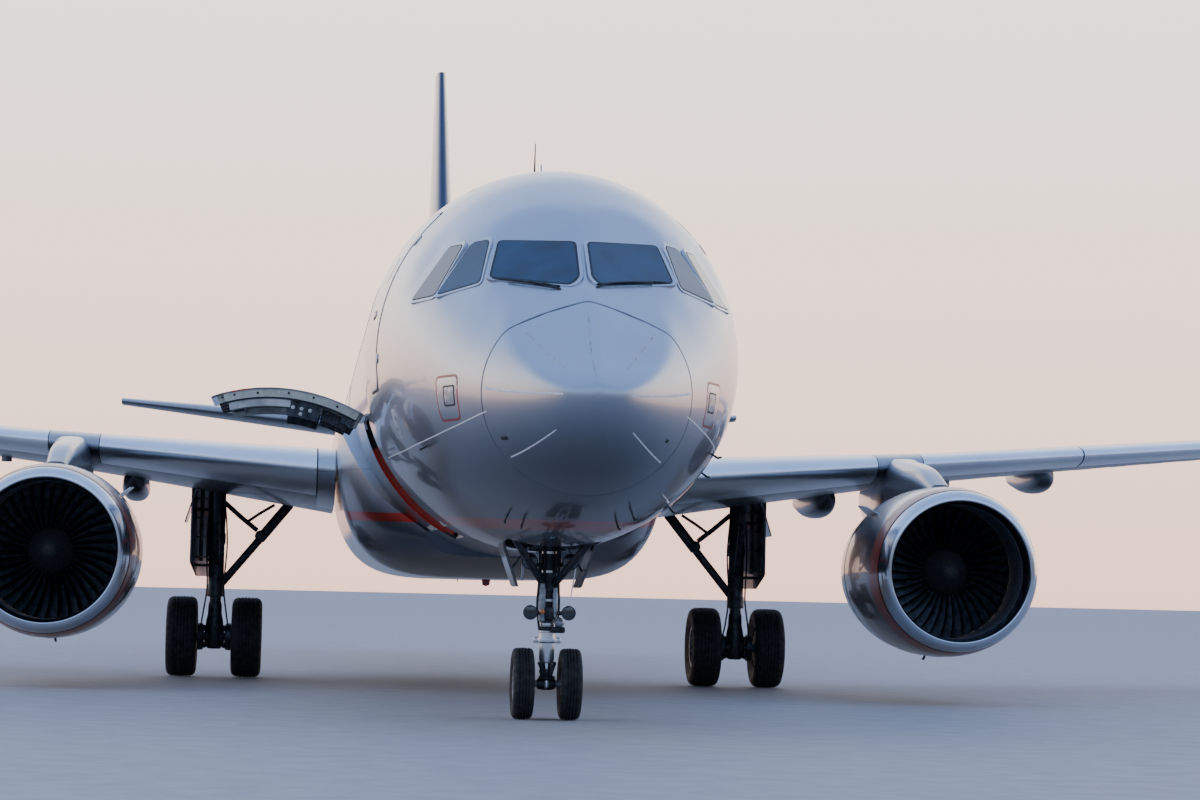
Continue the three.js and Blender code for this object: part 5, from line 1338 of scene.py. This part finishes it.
# Tyres: radius, width, rim radius
NOSE_TYRE, MAIN_TYRE = (0.375, 0.224, 0.205), (0.575, 0.432, 0.285)
NOSE_Z, MAIN_Z = NOSE_TYRE[0], MAIN_TYRE[0]
hub_parts, bolt_parts, void_parts = [], [], []
for hand, side in SIDES:
    centre = at(side * 0.25, NOSE_AXLE, NOSE_Z)
    place(f"nose_tyre_tread_{hand}", tyre_mesh(centre, *NOSE_TYRE, (-0.42, -0.14, 0.14, 0.42)), rubber,
        body="nose_wheels", replaces=f"nose_tyre_{hand}", slot="tyre_rubber")
    wheel, bolts, voids = wheel_half(centre, *NOSE_TYRE[:0:-1], side)
    hub_parts.append(wheel)
    bolt_parts += bolts
    void_parts += voids
hub_parts.append(axle(0.0, 0.28, NOSE_AXLE, NOSE_Z, 0.0375))
place("nose_wheels_cast", hub_parts, wheel_paint, body="nose_wheels", replaces="nose_wheel_hubs", slot="gear_steel")
place("nose_wheel_bolts", bolt_parts, enamel, body="nose_wheels")
place("nose_wheel_holes", void_parts, carbon, body="nose_wheels")


def leg_turned(points, s, x=0.0, sides=40):
    """A turned upright part of a leg from (radius, height) points, closed at both ends."""
    line = np.array([(0.0, points[0][1]), *points, (0.0, points[-1][1])])
    return turned(line, at(x, s, 0), "Z", sides)


upper = [leg_turned([(0.06, 0.99), (0.078, 1.0), (0.078, 1.04), (0.092, 1.05), (0.092, 1.12), (0.078, 1.13),
    (0.078, 1.33), (0.092, 1.345), (0.092, 1.42), (0.08, 1.44), (0.08, 1.9), (0.098, 1.93), (0.098, 2.05),
    (0.082, 2.08), (0.082, 2.649)], NOSE_AXLE)]
stay_s = NOSE_AXLE - 0.62
upper += [*(round_rod([(x * 0.03, NOSE_AXLE, 1.38), (x * 0.25, NOSE_AXLE - 0.31, 1.68), (x * 0.47, stay_s, 1.98)],
    0.04, 18) for x in (-1, 1)), pin((0, stay_s, 1.98), (0.47, 0, 0), 0.032, 18),
    *(round_rod([(x * 0.05, NOSE_AXLE, 1.98), (x * 0.22, NOSE_AXLE - 0.3, 2.3), (x * 0.4, stay_s, 2.6)], 0.03, 16)
    for x in (-1, 1)), block((-0.06, NOSE_AXLE - 0.13, 1.05), (0.06, NOSE_AXLE, 1.18), 0.015),
    pin((0, NOSE_AXLE, 1.98), (0.22, 0, 0), 0.055, 20)]
place("nose_leg_upper", upper, soot_and_shade_enamel, replaces="nose_gear_leg", slot="gear_steel")
place("nose_leg_collar", leg_turned([(0.08, 0.905), (0.094, 0.91), (0.094, 0.93), (0.088, 0.935), (0.088, 0.985),
    (0.092, 0.99), (0.092, 1.01), (0.07, 1.02)], NOSE_AXLE), satin)
jacks = [leg_turned([(0.02, low), (r, low + 0.008), (r, high - 0.05), (r * 0.8, high - 0.04), (r * 0.8, high),
    (0.02, high + 0.01)], NOSE_AXLE - 0.1, x) for x, r, low, high in ((-0.068, 0.037, 1.03, 1.42),
    (0.07, 0.03, 1.07, 1.37))]
place("nose_leg_actuators", jacks, enamel)
lower = leg_turned([(0.056, 0.47), (0.056, 0.62)], NOSE_AXLE)
place("nose_leg_chrome", lower, chrome, body="steered_nose_leg")
sleeve = leg_turned([(0.06, 0.59), (0.072, 0.6), (0.079, 0.63), (0.08, 0.8), (0.09, 0.81), (0.112, 0.815),
    (0.114, 0.83), (0.112, 0.85), (0.09, 0.856), (0.088, 0.899)], NOSE_AXLE)
lugs = [block((x * 0.09, NOSE_AXLE - 0.03, 0.8), (x * 0.145, NOSE_AXLE + 0.03, 0.86), 0.012) for x in (-1, 1)]
place("nose_leg_sleeve", [sleeve, *lugs], satin, body="steered_nose_leg")
fork = [leg_turned([(0.05, 0.31), (0.062, 0.33), (0.07, 0.42), (0.064, 0.5), (0.058, 0.53)], NOSE_AXLE),
    pin((0, NOSE_AXLE, NOSE_Z), (0.095, 0, 0), 0.062, 24), *(round_rod([(x * 0.08, NOSE_AXLE - 0.075, 0.6),
    (x * 0.05, NOSE_AXLE - 0.12, 0.52), (x * 0.03, NOSE_AXLE - 0.1, 0.44)], 0.022, 12) for x in (-1, 1)),
    pin((0, NOSE_AXLE - 0.09, 0.44), (0.085, 0, 0), 0.02)]
place("nose_leg_fork", fork, soot_and_shade_enamel, body="steered_nose_leg", replaces="nose_gear_steered_leg",
    slot="gear_steel")
tow = leg_turned([(0.012, 0.33), (0.026, 0.34), (0.03, 0.375), (0.026, 0.41), (0.012, 0.42)], NOSE_AXLE - 0.065)
place("nose_leg_tow_pin", tow, satin, body="steered_nose_leg")


def link_pair(s, apex_s, low, high, mid, half, x=0.0):
    """Two torque links, each a flat A with two arms and a web hole, from a leg to a common pin behind it."""
    parts = []
    for z0, z1 in ((low, mid - 0.012), (high, mid + 0.012)):
        for arm in (-1, 1):
            path = [at(x + arm * half, s, z0), at(x + arm * half * 0.62, (s + apex_s) / 2, (z0 + z1) / 2),
                at(x + arm * 0.014, apex_s, z1)]
            parts.append(bar(*ended(path, 0.017), 10))
        parts.append(round_rod([(x - half - 0.02, s, z0), (x, s, z0), (x + half + 0.02, s, z0)], 0.022, 12))
    parts.append(pin((x, apex_s, mid), (0, 0, 0.05), 0.018))
    return parts


place("nose_torque_links", link_pair(NOSE_AXLE + 0.07, NOSE_AXLE + 0.25, 0.5, 0.83, 0.66, 0.05), soot_and_shade_enamel,
    body="steered_nose_leg")
for hand, side in SIDES:
    line = [(0.0, 0.06), (0.05, 0.058), (0.08, 0.03), (0.092, -0.05), (0.096, -0.062), (0.09, -0.062),
        (0.086, -0.055), (0.0, -0.055)]
    pane = [(0.0, -0.064), (0.05, -0.062), (0.084, -0.056), (0.084, -0.05), (0.0, -0.05)]
    for kind, head, size, look, arm in (("taxi", at(side * 0.2, NOSE_AXLE - 0.2, 1.12), 0.8, acrylic,
            [at(side * 0.2, NOSE_AXLE - 0.16, 1.12), at(side * 0.1, NOSE_AXLE - 0.1, 1.115),
            at(0, NOSE_AXLE - 0.06, 1.115)]), ("runway", at(side * 0.215, NOSE_AXLE - 0.13, 1.655), 0.9, lamp,
            [at(side * 0.215, NOSE_AXLE - 0.1, 1.655), at(side * 0.12, NOSE_AXLE - 0.05, 1.62),
            at(0, NOSE_AXLE, 1.6)])):
        place(f"{kind}_lamp_shell_{hand}", turned(np.array(line) * size, head, "Y", 40), soot_and_shade_enamel)
        place(f"{kind}_lamp_{hand}", turned(np.array(pane) * size, head, "Y", 40), look)
        place(f"{kind}_lamp_arm_{hand}", bar(*ended(arm, 0.022), 12), soot_and_shade_enamel)
nose_lines = [hose([(0.09, 5.0, 2.5), (0.12, 4.98, 2.0), (0.1, 4.97, 1.5), (0.11, 4.97, 1.2), (0.09, 5.0, 0.95)]),
    hose([(-0.09, 5.0, 2.5), (-0.13, 4.98, 2.1), (-0.1, 4.96, 1.6), (-0.12, 4.97, 1.2), (-0.09, 5.02, 0.95)]),
    hose([(0.06, 5.14, 2.3), (0.12, 5.18, 1.8), (0.1, 5.17, 1.3), (0.07, 5.15, 0.98)], 0.01),
    hose([(-0.42, 4.7, 2.1), (-0.25, 4.8, 1.82), (-0.06, 4.95, 1.78), (-0.05, 4.97, 1.5)], 0.014),
    hose([(0.43, 4.75, 2.1), (0.3, 4.85, 1.86), (0.12, 4.95, 1.84), (0.06, 4.97, 1.52)], 0.014),
    hose([(-0.3, 4.6, 2.2), (0.0, 4.7, 1.9), (0.28, 4.6, 2.2)], 0.016)]
place("nose_leg_lines", nose_lines, seal)
place("nose_leg_lamp_cable", hose([(0.29, 4.9, 1.75), (0.26, 4.9, 1.52), (0.21, 4.88, 1.2)], 0.007), satin)
boxes = [block(low, high, 0.012) for low, high in (((-0.2, 4.75, 1.78), (-0.09, 4.9, 1.93)),
    ((0.1, 4.78, 1.8), (0.24, 4.92, 1.9)), ((-0.4, 4.55, 2.1), (-0.27, 4.75, 2.3)),
    ((0.26, 4.6, 2.1), (0.42, 4.8, 2.26)))]
place("nose_bay_boxes", boxes, soot_and_shade_enamel)
clips = [turned([(0.08, z - 0.012), (0.104, z - 0.012), (0.104, z + 0.012), (0.08, z + 0.012)], at(0, NOSE_AXLE, 0),
    "Z", 32) for z in (1.25, 1.55, 1.75)]
place("nose_leg_clamps", clips, chrome)
ball = curved([(0.0, -0.055), (0.04, -0.035), (0.055, 0.0), (0.04, 0.035), (0.0, 0.055)], 5)
place("steering_accumulator", turned(ball, at(0.115, NOSE_AXLE - 0.13, 1.02), "Z", 32), enamel)
steering = [block((0.03, NOSE_AXLE - 0.17, 0.91), (0.175, NOSE_AXLE - 0.09, 0.975), 0.015),
    round_rod([(-0.1, NOSE_AXLE - 0.08, 0.955), (0.0, NOSE_AXLE - 0.1, 0.955), (0.1, NOSE_AXLE - 0.11, 0.955)], 0.022,
    16)]
place("steering_cylinders", steering, soot_and_shade_enamel)
place("leg_lamp", turned([(0.0, -0.03), (0.022, -0.02), (0.028, 0.0), (0.028, 0.03), (0.0, 0.03)],
    at(-0.07, 4.89, 1.13), "Y", 20), amber)

# Nose bay: side walls with frames, roof and pipes, and the doors hanging from its edges
walls = [block((x * 0.49, 4.35, 1.95), (x * 0.515, 5.75, 2.66), 0.003) for x in (-1, 1)]
walls += [block((-0.5, s0, 1.9), (0.5, s1, 2.66), 0.003) for s0, s1 in ((4.325, 4.35), (5.75, 5.775))]
walls += [block((-0.5, 4.33, 2.65), (0.5, 5.77, 2.68), 0.003)]
place("nose_bay_walls", walls, soot_and_shade_enamel)
ribs = [block((x * 0.455, s - 0.012, 1.98), (x * 0.49, s + 0.012, 2.64), 0.004) for x in (-1, 1)
    for s in np.arange(4.45, 5.75, 0.2)]
ribs += [block((-0.48, s - 0.012, 2.6), (0.48, s + 0.012, 2.65), 0.004) for s in np.arange(4.45, 5.75, 0.2)]
place("nose_bay_frames", ribs, soot_and_shade_enamel)
pipes = [hose([(x, 4.38, z), (x * 1.02, 4.9, z + 0.02), (x, 5.7, z)], 0.014) for x, z in ((0.43, 2.5), (0.43, 2.42),
    (-0.43, 2.46), (-0.43, 2.36), (0.3, 2.6), (-0.24, 2.61))]
place("nose_bay_pipes", pipes, satin)
for hand, side in SIDES:
    edge = [(0.4897, 1.93), (0.472, 1.93), (0.466, 1.82), (0.318, 1.39), (0.333, 1.385), (0.352, 1.4), (0.4897, 1.79)]
    panel = prism(np.array(edge) * (side, 1), 5.0, 5.74, flat="s")
    place(f"nose_gear_door_panel_{hand}", panel, plain_silver, replaces=f"nose_gear_door_{hand}", slot="silver_paint")
    rod = round_rod([(side * 0.38, 5.35, 1.56), (side * 0.24, 5.3, 1.75), (side * 0.1, 5.2, 1.95)], 0.014, 12)
    place(f"nose_gear_door_rod_{hand}", rod, enamel)

# Main gear, made for port
for hand, side in SIDES:
    body = f"main_wheels_{hand}"
    wheels, bolts, voids, brakes = [], [], [], []
    for where, out in (("inner", -1), ("outer", 1)):
        centre = at(MAIN_LEG_X + out * 0.4635, MAIN_AXLE, MAIN_Z)
        mesh = on_hand(tyre_mesh(centre, *MAIN_TYRE, (-0.44, -0.22, 0.0, 0.22, 0.44)), side)
        place(f"main_tyre_tread_{where}_{hand}", mesh, rubber, body=body, replaces=f"main_tyre_{where}_{hand}",
            slot="tyre_rubber")
        wheel, bolt, void = wheel_half(centre, *MAIN_TYRE[:0:-1], out)
        wheels.append(wheel)
        bolts += bolt
        voids += void
        ring = [(0.09, 0.02), (0.2, 0.02), (0.215, 0.05), (0.215, 0.15), (0.2, 0.17), (0.09, 0.17)]
        brakes.append(turned(np.array(ring) * (1, -out) + (0, 0.02 * out), centre - (out * 0.02, 0, 0), "X", 48))
    wheels.append(axle(MAIN_LEG_X, 0.47, MAIN_AXLE, MAIN_Z, 0.0595))
    place(f"main_wheels_cast_{hand}", wheels, wheel_paint, body=body, replaces=f"main_wheel_hubs_{hand}",
        slot="gear_steel", side=side)
    place(f"main_wheel_bolts_{hand}", bolts, enamel, body=body, side=side)
    place(f"main_wheel_holes_{hand}", voids, carbon, body=body, side=side)
    place(f"main_brake_rotors_{hand}", brakes, carbon, body=body, side=side)
    x, s = MAIN_LEG_X, MAIN_AXLE
    leg = [leg_turned([(0.11, 1.15), (0.125, 1.16), (0.125, 1.3), (0.112, 1.33), (0.112, 1.9), (0.126, 1.93),
        (0.126, 2.05), (0.114, 2.08), (0.114, 2.88)], s, x), leg_turned([(0.06, 0.47), (0.095, 0.5), (0.1, 0.62),
        (0.09, 0.7), (0.086, 0.72)], s, x), leg_turned([(0.085, 0.4), (0.122, 0.43), (0.132, 0.52), (0.132, 0.72),
        (0.118, 0.82), (0.1, 0.9), (0.098, 1.04), (0.086, 1.08)], s, x), pin((x, s, MAIN_Z), (0.14, 0, 0), 0.105, 28),
        round_rod([(x - 0.03, s, 1.28), (3.29, s, 1.86), (3.16, s, 2.02)], 0.058, 18),
        round_rod([(3.19, s, 1.984), (2.98, s, 2.245), (2.759, s, 2.52)], 0.074, 18),
        pin((3.17, s, 2.04), (0, 0.1, 0), 0.085, 20), round_rod([(3.22, s + 0.02, 2.12), (3.45, s + 0.03, 2.3),
        (x - 0.09, s + 0.04, 2.52)], 0.036, 14), round_rod([(3.36, s + 0.06, 2.25), (3.19, s + 0.06, 2.37),
        (2.98, s + 0.06, 2.5)], 0.022, 12), round_rod([(x, s - 0.05, 1.6), (x, s - 0.45, 2.2), (x, s - 0.8, 2.7)],
        0.05, 16)]
    place(f"main_leg_{hand}", leg, soot_and_shade_enamel, replaces=f"main_gear_leg_{hand}", slot="gear_steel", side=side)
    place(f"main_leg_piston_{hand}", leg_turned([(0.084, 0.7), (0.084, 1.17)], s, x), dark_metal, side=side)
    housings = []
    for out in (-1, 1):
        ring = np.array([(0.068, 0.15), (0.165, 0.15), (0.192, 0.166), (0.198, 0.236), (0.068, 0.236)]) * (1, out)
        housings.append(turned(ring, at(x, s, MAIN_Z), "X", 40))
        for a in circle(8):
            spot = at(x, s, MAIN_Z) + (0, 0.142 * math.cos(a), 0.142 * math.sin(a))
            housings.append(bar(*ended([spot + (out * d, 0, 0) for d in (0.118, 0.14, 0.16)], 0.024), 10))
    place(f"main_brake_housings_{hand}", housings, soot_and_shade_enamel, side=side)
    links = link_pair(s + 0.08, s + 0.38, 0.66, 1.22, 0.94, 0.06, x)
    place(f"main_torque_links_{hand}", links, soot_and_shade_enamel, side=side)
    hoses = [hose([(x + k * 0.1, s - 0.1, 2.6), (x + k * out, s - 0.12, 1.9), (x + k * 0.12, s - 0.14, 1.3),
        (x + k * 0.16, s - 0.16, 0.95), (x + k * 0.2, s - 0.08, 0.7)]) for k, out in ((1, 0.14), (-1, 0.15))]
    hoses.append(hose([(x, s + 0.13, 2.4), (x + 0.03, s + 0.16, 1.7), (x, s + 0.14, 1.2)], 0.014))
    place(f"main_leg_lines_{hand}", hoses, seal, side=side)
    # The leg's door is toed: its front edge stands out, as it lies in the wing's curved underside when the leg is up
    toe, stand_off = np.array([[1, -0.3, 0], [0, 1, 0], [0, 0, 1]]), (x + 0.35 + 0.3 * y_of(s - 0.42), 0, 0)
    edge = rounded_outline([(s - 0.42, 1.64), (s - 0.14, 1.44), (s + 0.38, 1.44), (s + 0.38, 2.84), (s - 0.42, 2.84)],
        0.03)
    door = moved(prism(edge, 0.0, 0.022), toe, stand_off)
    place(f"main_gear_door_panel_{hand}", door, plain_silver, replaces=f"main_gear_door_{hand}", slot="silver_paint",
        side=side)
    ribs = [block((-0.034, s - 0.38, z - 0.012), (0.004, s + 0.34, z + 0.012), 0.004)
        for z in (1.72, 2.0, 2.28, 2.56)]
    ribs += [block((-0.03, s + d, 1.66), (0.004, s + d + 0.02, 2.78), 0.004) for d in (-0.39, -0.02, 0.33)]
    place(f"main_gear_door_ribs_{hand}", moved(joined(ribs), toe, stand_off), soot_and_shade_enamel, side=side)
    flap = np.array([(x + 0.245, 2.86), (x + 0.263, 2.865), (x + 0.464, 2.215), (x + 0.447, 2.206)])
    place(f"main_gear_upper_door_{hand}", prism(flap, s - 0.4, s + 0.36, flat="s"), plain_silver, side=side)
    rods = [round_rod([(x + 0.08, s - 0.1, z), (x + 0.16, s - 0.1, z), (x + 0.25, s - 0.1, z)], 0.022, 12)
        for z in (1.6, 2.4)]
    place(f"main_gear_door_links_{hand}", rods, soot_and_shade_enamel, side=side)

# Floor, light and camera

floor_look = mottled("pale studio floor", "#a6a9ad", 0.7, 0.0, (0.4, 4.0), "#85888c", "#909397", (0.75, 0.68))
floor = bpy.data.objects.new("studio_floor", bpy.data.meshes.new("studio_floor"))
floor.data.from_pydata([(-400, -300, 0), (400, -300, 0), (400, 600, 0), (-400, 600, 0)], [], [(0, 1, 2, 3)])
floor.data.materials.append(floor_look)
bpy.context.scene.collection.objects.link(floor)

# A soft dome of light: warm and bright low down beyond the tail, a cooler blue overhead and before the nose
world = bpy.data.worlds.new("soft studio")
bpy.context.scene.world = world
world.use_nodes = True
tree = world.node_tree
way = add(tree, "TexCoord", out="Generated")
aft, up = (add(tree, "SeparateXYZ", (0, way), out=k) for k in (1, 2))
warm = add(tree, "ValToRGB", (0, up), stops=((0.0, "#eebfae"), (0.85, "#7590c4"), (0.1, "#f4d9cb"), (0.22, "#f6efe9"),
    (0.5, "#98add4")))
cool = add(tree, "ValToRGB", (0, up), stops=((0.0, "#53565f"), (0.85, "#7590c4"), (0.13, "#6a6f7c"),
    (0.24, "#9cb0d2"), (0.45, "#84a0d2")))
half = add(tree, "MapRange", (0, aft), (1, -0.35), (2, 0.45), interpolation_type="SMOOTHSTEP")
dome = add(tree, "Mix", (0, half), (6, cool), (7, warm), data_type="RGBA", out=2)
tree.links.new(dome, tree.nodes["Background"].inputs["Color"])
tree.nodes["Background"].inputs["Strength"].default_value = 2.5


def soft_light(name, spot, target, size, watts, colour):
    """A square area light turned to face a target. It isn't seen in reflections, which show the dome alone."""
    data = bpy.data.lights.new(name, "AREA")
    data.size, data.energy, data.color = size, watts, linear(colour)[:3]
    thing = bpy.data.objects.new(name, data)
    thing.location = spot
    thing.rotation_euler = (Vector(target) - Vector(spot)).to_track_quat("-Z", "Y").to_euler()
    thing.visible_glossy = False
    bpy.context.scene.collection.objects.link(thing)


soft_light("key softbox", (-45, -30, 45), (0, -6, 3), 50, 12000, "#fff1e6")
soft_light("fill softbox", (50, -10, 30), (0, -4, 3), 40, 4000, "#e8f0ff")

# The photograph's viewpoint: where the camera stands, its turn to the right, its tilt up and its roll, in degrees
CAMERA = dict(spot=(-2.645, -46.174, 1.362), turn=5.538, tilt=3.533, roll=1.318, focal=92.66)
swing, tilt, roll = (math.radians(CAMERA[k]) for k in ("turn", "tilt", "roll"))
ahead = np.array([math.sin(swing) * math.cos(tilt), math.cos(swing) * math.cos(tilt), math.sin(tilt)])
right = np.array([math.cos(swing), -math.sin(swing), 0.0])
upward = np.cross(right, ahead)
right, upward = (right * math.cos(roll) + upward * math.sin(roll), upward * math.cos(roll) - right * math.sin(roll))
lens = bpy.data.cameras.new("viewpoint")
lens.lens, lens.sensor_width, lens.clip_end = CAMERA["focal"], 36.0, 2000.0
camera = bpy.data.objects.new("viewpoint", lens)
columns = np.stack([right, upward, -ahead, CAMERA["spot"]], 1)
camera.matrix_world = Matrix([*columns.tolist(), [0, 0, 0, 1]])
bpy.context.scene.collection.objects.link(camera)
bpy.context.scene.camera = camera
